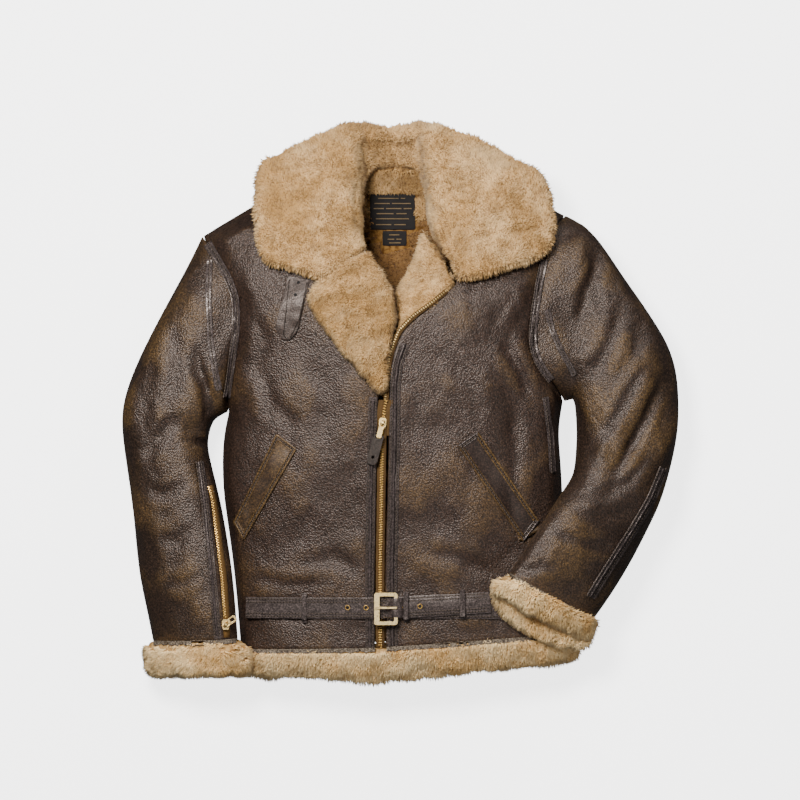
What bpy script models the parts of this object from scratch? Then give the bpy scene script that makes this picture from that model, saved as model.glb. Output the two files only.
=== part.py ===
"""A sheepskin flying jacket, laid out on its back with the fleece-lined body and sleeves still full.

Sizes are in millimetres with Z up. X runs to the right of the laid jacket, Y from the hem to the collar.
The wall of each panel is the sheepskin's whole thickness, leather and fleece together.
"""

import math

import bmesh
import bpy
import numpy as np
from mathutils import Vector
from mathutils.bvhtree import BVHTree
from mathutils.geometry import tessellate_polygon

for leftover in list(bpy.data.objects):
    bpy.data.objects.remove(leftover, do_unlink=True)

# Driving sizes
WALL = 10.0  # leather with its fleece
COLLAR_WALL = 12.0  # fuller fleece of the collar, the lapel and the hem
SEAM = 0.2  # each side of a seam stands back this far
ARMHOLE_SEAM = 1.6  # a sleeve's edge stands back further, where the armhole's strip covers it
STRAP = 2.2  # doubled leather of the strips, the belt and the pocket welts
LIFT = 0.8  # what lies on a panel stands this far off its facets
SIDE_SHARE = 0.45  # the side seam's height as a share of the body's height
DOME = 2.6  # how square the body's upper outline is
TRAY = 4.0  # how square the back's rounded edge is
SLEEVE_SQUARE = 2.3
BELT_WIDTH = 28.5
BELT_Y = -281.5
ZIP_WIDTH = 12.0

# The body's outline and height at each level: y, left, right, height
BODY = np.array([
    (-380, -214, 246, 96),
    (-341, -217, 241, 105),
    (-318, -219, 239, 107),
    (-289, -221, 231, 110),
    (-244, -225, 226, 115),
    (-190, -231.5, 223, 122),
    (-148, -238, 222, 128),
    (-112, -242, 221, 134),
    (-54, -242, 216, 141),
    (-17, -233, 220, 145),
    (-2, -235, 222, 146),
    (28, -240, 228, 148),
    (82, -245, 232, 150),
    (137, -251, 234, 148),
    (191, -259, 233, 135),
    (224, -268, 230, 120),
    (252, -274, 224, 104),
    (279, -279, 226, 88),
    (300, -282, 229, 76),
    (330, -287, 232, 58),
], float)

# Front panels, a row per level from the hem to the shoulder seam: side x, side y, edge x, edge y
FRONT_LEFT = np.array([
    (-217, -341, -34, -338),
    (-221, -289, -34.5, -289),
    (-225, -244, -34.5, -240),
    (-231.5, -190, -33, -185),
    (-238, -148, -32.5, -135),
    (-242, -112, -31.5, -95),
    (-242, -54, -30.5, -45),
    (-233, -17, -29.5, 5),
    (-235, 10, -27, 40),
    (-228, 55, -21, 80),
    (-221, 95, -18, 105),
    (-221, 116, -14, 125),
    (-222, 135, -22, 150),
    (-227, 152, -48, 178),
    (-236, 172, -80, 220),
    (-247, 192, -79, 262),
    (-257, 208, -85, 298),
    (-268, 224, -100, 324),
], float)
FRONT_RIGHT = np.array([
    (239, -318, -19, -337),
    (231, -289, -20, -289),
    (226, -244, -20, -240),
    (223, -190, -19, -185),
    (221.5, -122, -17, -135),
    (219, -81, -16, -95),
    (215, -40, -15, -45),
    (222, -2, -15, 0),
    (209, 21, -15, 20),
    (195, 37, -13, 45),
    (183, 58, -7, 70),
    (178, 80, 2, 92),
    (181, 120, 20, 110),
    (185, 142, 45, 128),
    (190, 170, 76, 156),
    (197, 202, 78, 205),
    (203, 227, 64, 250),
    (212, 241, 72, 292),
    (224, 252, 100, 317),
], float)
ARMPIT = 7  # the row of both tables that ends at the armpit

# The back above the armpits: left x, y, z, right x, y, z, height of the middle, squareness
BACK_TOP = np.array([
    (-233, 20, 45, 216, 30, 46, 0, 4),
    (-231, 60, 31, 212, 70, 32, 0, 4),
    (-230, 110, 25, 209, 115, 27, 0, 4),
    (-236, 150, 28, 208, 160, 30, 0, 4),
    (-250, 190, 38, 213, 207, 38, 0, 4),
], float)
SHOULDER = (0.0, 0.34, 0.68, 1.0)  # places of the back's rows along the shoulder seam
SHOULDER_MIDDLE = (0.0, 0.0, 7.0, 20.0)
SHOULDER_SQUARE = (4.0, 3.6, 3.0, 2.4)

# Sleeves, a row per ring from the armhole to the cuff:
# outer x, outer y, inner x, inner y, outer seam z, inner seam z, height
SLEEVE_LEFT = np.array([
    (-286, 188, -238, -18, 55, 62, 116),
    (-313, 139, -245, -22, 55, 60, 118),
    (-340, 89, -253, -27, 55, 60, 118),
    (-363, 41, -258, -39, 54, 60, 116),
    (-377, 1, -261, -54, 54, 60, 115),
    (-380, -33, -261, -66, 53, 60, 113),
    (-376, -67, -258, -81, 52, 60, 111),
    (-370, -108, -251, -109, 50, 64, 108),
    (-364, -149, -242, -145, 48, 70, 105),
    (-360, -197, -234, -190, 46, 76, 101),
    (-355, -244, -227, -237, 44, 79, 97),
    (-345, -288, -223, -282, 42, 79, 91),
    (-337, -330, -220, -326, 39, 76, 84),
], float)
SLEEVE_RIGHT = np.array([
    (249, 240, 228, -1, 56, 64, 116),
    (272, 218, 235, 1, 56, 62, 118),
    (302, 171, 238, -6, 56, 62, 118),
    (326, 138, 239, -20, 56, 62, 118),
    (348, 105, 240, -37, 56, 62, 117),
    (366, 75, 240, -54, 56, 62, 116),
    (377, 41, 239, -70, 55, 64, 115),
    (380, 5, 238, -84, 55, 68, 113),
    (380, -35, 236, -95, 54, 76, 111),
    (374, -71, 233, -105, 54, 86, 109),
    (366, -104, 223, -120, 54, 98, 106),
    (354, -143, 207, -142, 56, 112, 102),
    (337, -177, 193, -165, 60, 124, 96),
    (317, -216, 177, -188, 66, 132, 88),
    (296, -251, 166, -206, 70, 135, 82),
    (280, -275, 155, -222, 73, 136, 76),
    (264, -297, 147, -235, 76, 136, 72),
], float)
# Cuff fur: how far past the sleeve's end, swell at the outer seam, at the inner seam, up and
# down, and how much more the underside reaches
CUFF_LEFT = np.array([
    (0.6, 1, 2, 1, 0), (8, 7, 12, 3, 0), (20, 9, 17, 4, 0), (32, 8, 15, 3, 2), (40, 3, 9, 0, 3),
], float)
CUFF_RIGHT = np.array([
    (0.6, 1, 2, 1, 0), (8, 5, 7, 4, 6), (16, 6, 8, 4, 14), (24, 4, 6, 2, 22), (28, 1, 3, 0, 27),
], float)

# Collar, a station per row from the left gorge round the neck to the right one:
# neck seam x, y, z, roll line x, y, z, outer edge x, y, z
COLLAR = np.array([
    (-50, 201, 112, -50, 207, 143, -103, 166, 153),
    (-54, 212, 106, -56, 217, 139, -132, 177, 148),
    (-55, 224, 99, -57, 230, 133, -160, 183, 143),
    (-55, 236, 92, -57, 244, 127, -181, 191, 137),
    (-55, 248, 85, -57, 258, 121, -190, 215, 127),
    (-55, 260, 78, -57, 272, 115, -192, 245, 113),
    (-54, 272, 71, -57, 286, 109, -193, 275, 96),
    (-53, 283, 64, -57, 300, 103, -192, 303, 80),
    (-51, 294, 57, -56, 315, 95, -186, 325, 68),
    (-47, 304, 50, -55, 330, 86, -150, 343, 62),
    (-41, 313, 43, -54, 345, 74, -108, 361, 56),
    (-32, 322.8, 38, -48, 357, 60, -70, 380, 46),
    (-20, 322.4, 34, -28, 352, 44, -40, 374, 36),
    (-8, 322, 32, -9, 350, 38, -9, 373, 31),
    (5, 321.6, 34, 12, 352, 44, 16, 375, 36),
    (17, 321.3, 38, 28, 358, 60, 42, 380, 46),
    (25, 313, 43, 31, 346, 74, 83, 366, 56),
    (31, 304, 50, 34, 331, 86, 130, 344, 62),
    (35, 294, 57, 37, 316, 95, 163, 326, 68),
    (37, 283, 64, 39, 300, 103, 190, 307, 78),
    (39, 272, 71, 40, 286, 109, 200, 283, 88),
    (40, 260, 78, 41, 271, 115, 205, 255, 98),
    (41, 249, 85, 41, 256, 121, 206, 228, 108),
    (42, 238, 92, 43, 242, 127, 200, 205, 116),
    (46, 227, 99, 46, 230, 133, 168, 190, 136),
    (52, 216, 106, 52, 219, 139, 125, 175, 147),
    (60, 206, 114, 60, 210, 143, 84, 166, 153),
], float)
# The lapel turned out on the left, from its foot to the gorge: left x, y, right x, y
LAPEL = np.array([
    (-27, 14, -22, 17),
    (-49, 37, -21, 45),
    (-64, 58, -18, 66),
    (-84, 81, -14, 86),
    (-106, 108, -11, 110),
    (-119, 134, -10, 138),
    (-117, 151, -21, 160),
    (-102, 160, -44, 196),
], float)
# The fleece inside the right front, from its foot to the gorge: outer x, y, inner x, y, z
FLAP = np.array([
    (-15, 28, -24, 32, 138),
    (-12, 52, -21, 60, 133),
    (-6, 75.5, -17, 88, 127),
    (3, 95.5, -13, 113, 120),
    (19, 111, -8, 134, 113),
    (41, 127, 2, 153, 106),
    (60, 143.5, 15, 178, 100),
    (71, 157, 27, 205, 94),
    (71, 163, 33, 228, 88),
], float)

# Valleys pressed into the panels: start x, y, end x, y, half width, depth
BODY_FOLDS = np.array([
    (156, 20, 150, -176, 22, 5),
    (136, 82, 177, 1, 18, 5),
    (-150, 60, -110, -60, 26, 3),
    (-120, -210, 20, -225, 26, 3),
    (60, 20, 90, -50, 26, 3),
    (-252, 199, -222, 130, 15, 8),
    (-222, 130, -228, 55, 15, 9),
    (-228, 55, -235, 10, 13, 7),
    (205, 235, 186, 150, 15, 8),
    (186, 150, 178, 80, 15, 9),
    (178, 80, 206, 25, 15, 8),
], float)
LEFT_FOLDS = np.array([
    (-279, 95, -254, 1, 13, 10),
    (-290, -40, -262, -64, 13, 10),
    (-300, 60, -330, -60, 24, 4),
    (-330, -120, -300, -200, 22, 4),
    (-262, -80, -240, -200, 14, 5),
], float)
RIGHT_FOLDS = np.array([
    (374, 35, 290, -106, 14, 12),
    (350, 46, 262, -84, 15, -6),
    (276, 196, 240, 92, 16, 13),
    (300, 120, 262, 20, 20, 5),
    (330, -40, 250, -120, 18, 5),
    (300, -170, 205, -190, 20, 4),
], float)


# Shapes

def at(table, place):
    """The columns of a table at a place along its first column."""
    return [float(np.interp(place, table[:, 0], table[:, k])) for k in range(1, table.shape[1])]


def valley(folds, x, y):
    """How far the folds press the surface in at a point."""
    total = 0.0
    for x0, y0, x1, y1, width, depth in folds:
        dx, dy = x1 - x0, y1 - y0
        along = ((x - x0) * dx + (y - y0) * dy) / (dx * dx + dy * dy)
        near = min(1.0, max(0.0, along))
        off = math.hypot(x - x0 - near * dx, y - y0 - near * dy)
        total = total + depth * math.exp(-((off / width) ** 2))
    return total


def body_top(x, y, folded=True):
    """Height of the front at a point, from the side seam's height up."""
    left, right, height = at(BODY, y)
    side = SIDE_SHARE * height
    share = min(1.0, abs((2 * x - left - right) / (right - left)))
    rise = (1 - share ** DOME) ** (1 / DOME)
    z = side + (height - side) * rise
    return z - valley(BODY_FOLDS, x, y) * min(1.0, 1.6 * rise) if folded else z


def body_side(y, z, side):
    """Where the body's side stands at a height, -1 for the left and 1 for the right."""
    left, right, height = at(BODY, y)
    seam = SIDE_SHARE * height
    if z > seam:
        share = (1 - min(1.0, (z - seam) / (height - seam)) ** DOME) ** (1 / DOME)
    else:
        share = (1 - ((seam - max(0.0, z)) / (seam + 1)) ** TRAY) ** (1 / TRAY)
    return (left + right) / 2 + side * share * (right - left) / 2


def ground(x, y):
    """What the right forearm rests on: the body and a slope down from its side to the floor."""
    left, right, height = at(BODY, y)
    inside = x - 14
    if inside < right:
        return body_top(max(inside, 0), y, False) + 5
    return max(0.0, SIDE_SHARE * height + 5 - 1.1 * (inside - right))


def unit(vectors):
    vectors = np.asarray(vectors, float)
    return vectors / np.maximum(1e-9, np.linalg.norm(vectors, axis=-1, keepdims=True))


def normals(grid, outward):
    """Unit normals of a grid of points, on the side that the rough direction names."""
    across = np.gradient(grid, axis=1)
    along = np.gradient(grid, axis=0)
    found = unit(np.cross(across, along))
    if (found @ np.asarray(outward, float)).sum() < 0:
        found = -found
    return found


def shrink(outer, inner, sides):
    """Stands the named edges of a panel back from their seams."""
    outer, inner = outer.copy(), inner.copy()
    edges = {"foot": (0, 1, 0), "head": (-1, -2, 0), "near": (0, 1, 1), "far": (-1, -2, 1)}
    for side in sides:
        edge, next_in, axis = edges[side]
        pick = (edge, slice(None)) if axis == 0 else (slice(None), edge)
        beside = (next_in, slice(None)) if axis == 0 else (slice(None), next_in)
        move = SEAM * unit(outer[beside] - outer[pick])
        outer[pick] = outer[pick] + move
        inner[pick] = inner[pick] + move
    return outer, inner


def material(name, colour, roughness, metallic=0.0):
    made = bpy.data.materials.new(name)
    made.use_nodes = True
    shader = made.node_tree.nodes["Principled BSDF"]
    shader.inputs["Base Color"].default_value = (*colour, 1.0)
    shader.inputs["Roughness"].default_value = roughness
    shader.inputs["Metallic"].default_value = metallic
    return made


LOOKS = {
    "leather": ((0.075, 0.045, 0.035), 0.5, 0.0),
    "strap": ((0.055, 0.035, 0.03), 0.4, 0.0),
    "fleece": ((0.62, 0.44, 0.24), 0.95, 0.0),
    "tape": ((0.35, 0.22, 0.08), 0.8, 0.0),
    "brass": ((0.75, 0.52, 0.2), 0.3, 1.0),
    "woven": ((0.02, 0.02, 0.02), 0.8, 0.0),
}


def node(name, points, faces, look, origin=(0, 0, 0)):
    """One closed solid. The faces are turned outward by the sign of the volume."""
    points = np.asarray(points, float)
    corners = points[np.asarray(faces)]
    volume = np.einsum("ij,ij->i", corners[:, 0], np.cross(corners[:, 1], corners[:, 2])).sum()
    if volume < 0:
        faces = [face[::-1] for face in faces]
    mesh = bpy.data.meshes.new(name)
    mesh.from_pydata(((points - origin) * 0.001).tolist(), [], [tuple(map(int, f)) for f in faces])
    mesh.materials.append(material(name, *LOOKS[look]))
    made = bpy.data.objects.new(name, mesh)
    made.location = Vector(origin) * 0.001
    bpy.context.scene.collection.objects.link(made)
    return made


def grid_faces(rows, columns, start, wrap=False):
    faces = []
    for i in range(rows - 1):
        for j in range(columns if wrap else columns - 1):
            k = (j + 1) % columns
            a, b = start + i * columns + j, start + i * columns + k
            c, d = b + columns, a + columns
            faces += [(a, b, c), (a, c, d)]
    return faces


RIM_ORDER = np.array([0.37, 1.0, 0.13])


def slab(name, outer, inner, look, wrap=False):
    """A sheet between two grids of points, closed round its rim. Returns a tree of its outer face."""
    rows, columns = outer.shape[:2]
    count = rows * columns
    points = np.concatenate([outer.reshape(-1, 3), inner.reshape(-1, 3)])
    faces = grid_faces(rows, columns, 0, wrap)
    top = list(faces)
    faces = faces + [(c, b, a) for a, b, c in grid_faces(rows, columns, count, wrap)]
    rings = [[i * columns + j for j in range(columns)] for i in (0, rows - 1)]
    if wrap:
        loops = [rings[0] + rings[0][:1], (rings[1] + rings[1][:1])[::-1]]
    else:
        side = [[i * columns + j for i in range(rows)] for j in (0, columns - 1)]
        loops = [rings[0] + side[1][1:] + rings[1][::-1][1:] + side[0][::-1][1:]]
    for loop in loops:
        for a, b in zip(loop, loop[1:]):
            # Both sides of a seam split their rims along the same diagonals.
            if points[a] @ RIM_ORDER < points[b] @ RIM_ORDER:
                faces += [(b, a, a + count), (b, a + count, b + count)]
            else:
                faces += [(b, a, b + count), (a, a + count, b + count)]
    node(name, points, faces, look)
    return BVHTree.FromPolygons(outer.reshape(-1, 3).tolist(), top)


def height_on(trees, x, y, start=400.0):
    """The highest surface below a height at a point."""
    found = [tree.ray_cast(Vector((x, y, start)), Vector((0, 0, -1)))[0] for tree in trees]
    found = [hit.z for hit in found if hit is not None]
    return max(found) if found else None


CELL_SHARES = (0.0, 0.25, 0.5, 0.75, 1.0)


def raise_clear(under, trees):
    """Raises a grid of points until the cells between them clear the surfaces too."""
    for _ in range(3):
        rise = np.zeros(under.shape[:2])
        for i in range(under.shape[0] - 1):
            for j in range(under.shape[1] - 1):
                cell = under[i : i + 2, j : j + 2]
                for v in CELL_SHARES:
                    for u in CELL_SHARES:
                        rows = (1 - v) * cell[0] + v * cell[1]
                        x, y, z = (1 - u) * rows[0] + u * rows[1]
                        found = height_on(trees, x, y)
                        short = 0.0 if found is None else found + 0.8 * LIFT - z
                        rise[i : i + 2, j : j + 2] = np.maximum(rise[i : i + 2, j : j + 2], short)
        under[:, :, 2] += rise
        if rise.max() < 0.02:
            break
    return under


def laid(name, trees, plan, thick, look, lift=LIFT, spread=0.0, start=400.0, clear=None):
    """A piece that lies on other pieces, over a grid of x and y with a thickness at each point."""
    plan = np.asarray(plan, float)
    thick = np.broadcast_to(np.asarray(thick, float), plan.shape[:2])
    lift = np.broadcast_to(np.asarray(lift, float), plan.shape[:2])
    under = np.zeros((*plan.shape[:2], 3))
    outer = np.zeros_like(under)
    steps = ((0, 0), (spread, 0), (-spread, 0)) if spread else ((0, 0),)
    for i in range(plan.shape[0]):
        for j in range(plan.shape[1]):
            x, y = plan[i, j]
            heights = [height_on(trees, x + dx, y + dy, start) for dx, dy in steps]
            heights = [z for z in heights if z is not None]
            here = max(heights) if heights else body_top(x, y)
            slope = []
            for dx, dy in ((5, 0), (0, 5)):
                far = height_on(trees, x + dx, y + dy, start)
                near = height_on(trees, x - dx, y - dy, start)
                far = here if far is None else far
                near = here if near is None else near
                slope.append(max(-1.6, min(1.6, (far - near) / 10)))
            up = unit([-slope[0], -slope[1], 1.0])
            under[i, j] = np.array([x, y, here]) + up * lift[i, j]
            outer[i, j] = up * thick[i, j]
    if start > 300 and trees:
        under = raise_clear(under, clear or trees)
    return slab(name, outer + under, under, look)


def along(path, step):
    """Points every step along a path of straight pieces, and the way it heads there."""
    path = np.asarray(path, float)
    length = np.concatenate([[0], np.cumsum(np.linalg.norm(np.diff(path, axis=0), axis=1))])
    count = max(2, int(round(length[-1] / step)) + 1)
    places = np.linspace(0, length[-1], count)
    points = np.stack([np.interp(places, length, path[:, k]) for k in (0, 1)], axis=1)
    return points, unit(np.gradient(points, axis=0))


def ribbon_plan(path, width, step=14.0, across=3):
    points, heading = along(path, step)
    side = np.stack([heading[:, 1], -heading[:, 0]], axis=1)
    places = np.linspace(-width / 2, width / 2, across)
    return points[:, None, :] + side[:, None, :] * places[None, :, None]


def patch_plan(corners, rows, columns):
    """A four-cornered plan, with its rows and columns at the shares named."""
    a, b, c, d = [np.asarray(corner, float) for corner in corners]
    plan = []
    for v in rows:
        plan.append([(1 - v) * ((1 - u) * a + u * b) + v * ((1 - u) * d + u * c) for u in columns])
    return np.array(plan)


# Fronts

def front(name, rows, side, columns=11):
    steps = 1 - np.cos(np.linspace(0, math.pi / 2, columns))
    steps = 0.72 * steps + 0.28 * np.linspace(0, 1, columns)
    outer = np.zeros((len(rows), columns, 3))
    for i, (sx, sy, ex, ey) in enumerate(rows):
        for j, share in enumerate(steps):
            x, y = sx + (ex - sx) * share, sy + (ey - sy) * share
            outer[i, j] = x, y, body_top(x, y)
    # The side seam stands at its own height, and the shoulder seam is straight.
    for i in range(ARMPIT + 1):
        outer[i, 0, 2] = SIDE_SHARE * at(BODY, rows[i, 1])[2]
    last = outer[-1]
    for j, share in enumerate(steps):
        last[j] = (1 - share) * last[0] + share * last[-1]
    inward = -normals(outer, (0, 0, 1))
    inward[: ARMPIT + 1, 0] = (-side, 0, 0)
    inward[ARMPIT:, 0] = armhole_inward(outer[ARMPIT:, 0], side)
    inner = outer + inward * WALL
    inner[-1] = outer[-1] + WALL * shoulder_inward(side)
    return outer, inner


def armhole_inward(points, side):
    """The wall's direction along the armhole seam, the same for the body and the sleeve."""
    middle = np.array([side * 228, 105, 62.0])
    toward = unit(middle - points)
    toward[:, 0] = toward[:, 0] * 0.6 - side * 0.3
    return unit(toward)


def shoulder_inward(side):
    """The wall's direction along the shoulder seam."""
    return unit([-side * 0.25, -0.85, -0.3])


left_outer, left_inner = front("front_left", FRONT_LEFT, -1)
right_outer, right_inner = front("front_right", FRONT_RIGHT, 1)
left_tree = slab("front_left", *shrink(left_outer, left_inner, ("foot", "head", "near")), "leather")
right_tree = slab("front_right", *shrink(right_outer, right_inner, ("foot", "head", "near")), "leather")

# Back

back_rows = []
for i in range(ARMPIT + 1):
    back_rows.append((left_outer[i, 0], right_outer[i, 0], 0.0, TRAY))
for row in BACK_TOP:
    back_rows.append((row[0:3], row[3:6], row[6], row[7]))
for share, middle, square in zip(SHOULDER, SHOULDER_MIDDLE, SHOULDER_SQUARE):
    ends = [(1 - share) * shape[-1, 0] + share * shape[-1, -1] for shape in (left_outer, right_outer)]
    back_rows.append((ends[0], ends[1], middle, square))

BACK_COLUMNS = 17
back_outer = np.zeros((len(back_rows), BACK_COLUMNS, 3))
BACK_SHARES = 0.8 * np.sin(np.linspace(-math.pi / 2, math.pi / 2, BACK_COLUMNS))
BACK_SHARES = BACK_SHARES + 0.2 * np.linspace(-1, 1, BACK_COLUMNS)
for i, (left_end, right_end, middle, square) in enumerate(back_rows):
    for j, share in enumerate(BACK_SHARES):
        weight = (share + 1) / 2
        point = (1 - weight) * np.asarray(left_end) + weight * np.asarray(right_end)
        rim = max(0.0, 1 - 1.03 * (1 - min(1.0, abs(share)) ** square) ** (1 / square))
        point[2] = middle + (point[2] - middle) * rim
        back_outer[i, j] = point
back_inward = -normals(back_outer, (0, 0, -1))
for column, side, shape in ((0, -1, left_outer), (-1, 1, right_outer)):
    back_inward[: ARMPIT + 1, column] = (-side, 0, 0)
    armhole = slice(ARMPIT, ARMPIT + 7)
    back_inward[armhole, column] = armhole_inward(back_outer[armhole, column], side)
    back_inward[ARMPIT + 6 :, column] = shoulder_inward(side)
back_inner = back_outer + back_inward * WALL
back_inner[:, :, 2] = np.maximum(back_inner[:, :, 2], 0.0)
back_parts = shrink(back_outer, back_inner, ("foot", "near", "far"))
slab("back", *back_parts, "leather")

# Sleeves

def section(row, angle, folds):
    """A point of a sleeve's ring: angle 0 is the outer seam, a half turn the inner one."""
    ox, oy, ix, iy, oz, iz, height = row
    power = 2 / SLEEVE_SQUARE
    c, s = math.cos(angle), math.sin(angle)
    u = math.copysign(abs(c) ** power, c)
    w = math.copysign(abs(s) ** power, s) if abs(s) > 1e-9 else 0.0
    x = (ox + ix) / 2 + u * (ox - ix) / 2
    y = (oy + iy) / 2 + u * (oy - iy) / 2
    z = oz + (iz - oz) * (1 - u) / 2 + height / 2 * w
    if w > 0:
        z = z - valley(folds, x, y) * min(1.0, 1.5 * w)
    return x, y, z


def clear_of_body(point, side):
    """Keeps a sleeve outside the body and above the floor."""
    x, y, z = point
    z = max(z, 0.0)
    if side < 0:
        return min(x, body_side(y, z, -1) - 3.5), y, z
    if y > -118:
        return max(x, body_side(y, z, 1) + 3.5), y, z
    return x, y, max(z, ground(x, y))


def sleeve(rows, side, folds, armhole, angles):
    outer = np.zeros((len(rows) + 1, len(angles), 3))
    outer[0] = armhole
    for i, row in enumerate(rows):
        for j, angle in enumerate(angles):
            outer[i + 1, j] = clear_of_body(section(row, angle, folds), side)
    return outer


def sleeve_half(name, rows, side, folds, armhole, turn, upper):
    """The upper or the under half of a sleeve, from the inner seam to the outer seam."""
    angles = [math.pi * (1 - turn * k / (len(armhole) - 1)) for k in range(len(armhole))]
    outer = sleeve(rows, side, folds, armhole, angles)
    inward = -normals(outer, (0, 0, 1 if upper else -1))
    ring = np.array([(r[0] + r[2], r[1] + r[3], r[4] + r[5]) for r in rows]) / 2
    for column in (0, -1):
        seam = outer[1:, column]
        flat = unit((ring - seam) * (1, 1, 0))
        inward[1:, column] = flat
    inward[0] = armhole_inward(outer[0], side)
    inward[0, -1] = shoulder_inward(side)
    inner = outer + inward * WALL
    inner[:, :, 2] = np.maximum(inner[:, :, 2], 0.0)
    # Beside the armhole the wall stays on the sleeve's side of the armpit.
    edge = outer[0, 0, 0] + side * 3.0
    beside = (inner[:, :, 1] > outer[0, 0, 1]) & (inner[:, :, 0] * side < edge * side)
    beside[0] = False
    inner[:, :, 0] = np.where(beside, edge, inner[:, :, 0])
    middle = np.sin(np.linspace(0, math.pi, len(armhole)))
    back_off = side * ARMHOLE_SEAM * (1 + (0 if upper else 1.5) * middle)
    outer[0, :, 0] += back_off
    inner[0, :, 0] += back_off
    parts = shrink(outer, inner, ("near", "far"))
    return slab(name, *parts, "leather")


left_top_tree = sleeve_half(
    "sleeve_left_top", SLEEVE_LEFT, -1, LEFT_FOLDS, left_outer[ARMPIT:, 0], 1, True)
right_top_tree = sleeve_half(
    "sleeve_right_top", SLEEVE_RIGHT, 1, RIGHT_FOLDS, right_outer[ARMPIT:, 0], 1, True)
armhole_rows = slice(ARMPIT, ARMPIT + 7)
sleeve_half(
    "sleeve_left_under", SLEEVE_LEFT, -1, LEFT_FOLDS, back_outer[armhole_rows, 0], -1, False)
sleeve_half(
    "sleeve_right_under", SLEEVE_RIGHT, 1, RIGHT_FOLDS, back_outer[armhole_rows, -1], -1, False)


# Hem: the fleece that shows below the leather's edge

HEM_DROP = np.array([(0.02, 0.0), (0.35, -1.0), (0.75, 1.0), (1.0, 9.0)], float)


def hem_rows(leather, foot):
    """Grid rows from the leather's edge to the fleece's foot, with the height lost at each."""
    rows = []
    for share, drop in HEM_DROP:
        row = (1 - share) * leather + share * foot
        row[:, 2] = np.maximum(row[:, 2] - drop, 0.0)
        rows.append(row)
    return np.array(rows[::-1])


def hem(name, leather, foot, outward, seams):
    outer = hem_rows(leather, foot)
    inward = -normals(outer, outward)
    for column, direction in seams.items():
        inward[:, column] = direction
    inner = outer + inward * COLLAR_WALL
    inner[:, :, 2] = np.maximum(inner[:, :, 2], 0.0)
    sides = tuple({0: "near", -1: "far"}[column] for column in seams)
    return slab(name, *shrink(outer, inner, sides), "fleece")


def hem_front(name, outer, side, foot_side, foot_edge):
    leather = outer[0].copy()
    leather[:, 1] -= 0.8
    leather[-1, 0] = foot_edge[0]
    share = (leather[:, 0] - leather[0, 0]) / (leather[-1, 0] - leather[0, 0])
    foot = np.array(foot_side) + share[:, None] * (np.array(foot_edge) - np.array(foot_side))
    heights = [body_top(max(min(x, 244), -213), y) for x, y in foot]
    foot = np.column_stack([foot, heights])
    foot[0, 2] = leather[0, 2] - 3
    return hem(name, leather, foot, (0, 0, 1), {0: (-side, 0, 0)})


LEFT_FOOT, RIGHT_FOOT = (-212, -367), (243, -347)
hem_front("hem_left", left_outer, -1, LEFT_FOOT, (-28, -380))
hem_front("hem_right", right_outer, 1, RIGHT_FOOT, (-26, -380))
back_hem = back_outer[0].copy()
back_hem[:, 1] -= 1.3
back_foot = back_hem.copy()
for point in back_foot:
    share = (point[0] - back_hem[0, 0]) / (back_hem[-1, 0] - back_hem[0, 0])
    point[0] = LEFT_FOOT[0] + share * (RIGHT_FOOT[0] - LEFT_FOOT[0])
    point[1] = LEFT_FOOT[1] + share * (RIGHT_FOOT[1] - LEFT_FOOT[1]) - 14 * math.sin(math.pi * share)
back_foot[(0, -1), 2] = back_hem[(0, -1), 2] - 3
hem("hem_back", back_hem, back_foot, (0, 0, -1), {0: (1, 0, 0), -1: (-1, 0, 0)})

# Cuffs: a ring of fleece past each sleeve's end

CUFF_POINTS = 24


def cuff(name, rows, table, side):
    end, before = rows[-1], rows[-2]
    heading = unit([end[0] + end[2] - before[0] - before[2], end[1] + end[3] - before[1] - before[3]])
    edge = unit([end[0] - end[2], end[1] - end[3]])
    heading = unit(heading - 0.9 * (heading @ edge) * edge)
    outer = np.zeros((len(table), CUFF_POINTS, 3))
    for i, (reach, outward, inward, swell, more) in enumerate(table):
        for j in range(CUFF_POINTS):
            angle = 2 * math.pi * j / CUFF_POINTS
            x, y, z = section(end, angle, ())
            out = math.cos(angle) * (outward if math.cos(angle) > 0 else inward)
            under = reach + more * max(0.0, -math.sin(angle))
            x = x + heading[0] * under + edge[0] * out
            y = y + heading[1] * under + edge[1] * out
            z = z + math.sin(angle) * swell
            outer[i, j] = clear_of_body((x, y, z), side)
    middle = outer.mean(axis=1, keepdims=True)
    across = np.roll(outer, -1, axis=1) - np.roll(outer, 1, axis=1)
    ahead = np.array([heading[0], heading[1], 0.0])
    inward = unit(np.cross(across, ahead))
    if ((middle - outer) * inward).sum() < 0:
        inward = -inward
    inner = outer + inward * COLLAR_WALL
    inner[:, :, 2] = np.maximum(inner[:, :, 2], 0.3 * COLLAR_WALL)
    slab(name, outer, inner, "fleece", wrap=True)


cuff("cuff_left", SLEEVE_LEFT, CUFF_LEFT, -1)
cuff("cuff_right", SLEEVE_RIGHT, CUFF_RIGHT, 1)

# Collar, a rolled sheet with the fleece up, and the two pieces of fleece at the opening

ROLL = 20.0
WING_SHARES = (0.16, 0.36, 0.58, 0.8, 1.0)


def shoulder_line(x):
    return 224 + (x + 268) * 0.588 if x < 0 else 252 + (224 - x) * 0.524


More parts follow.
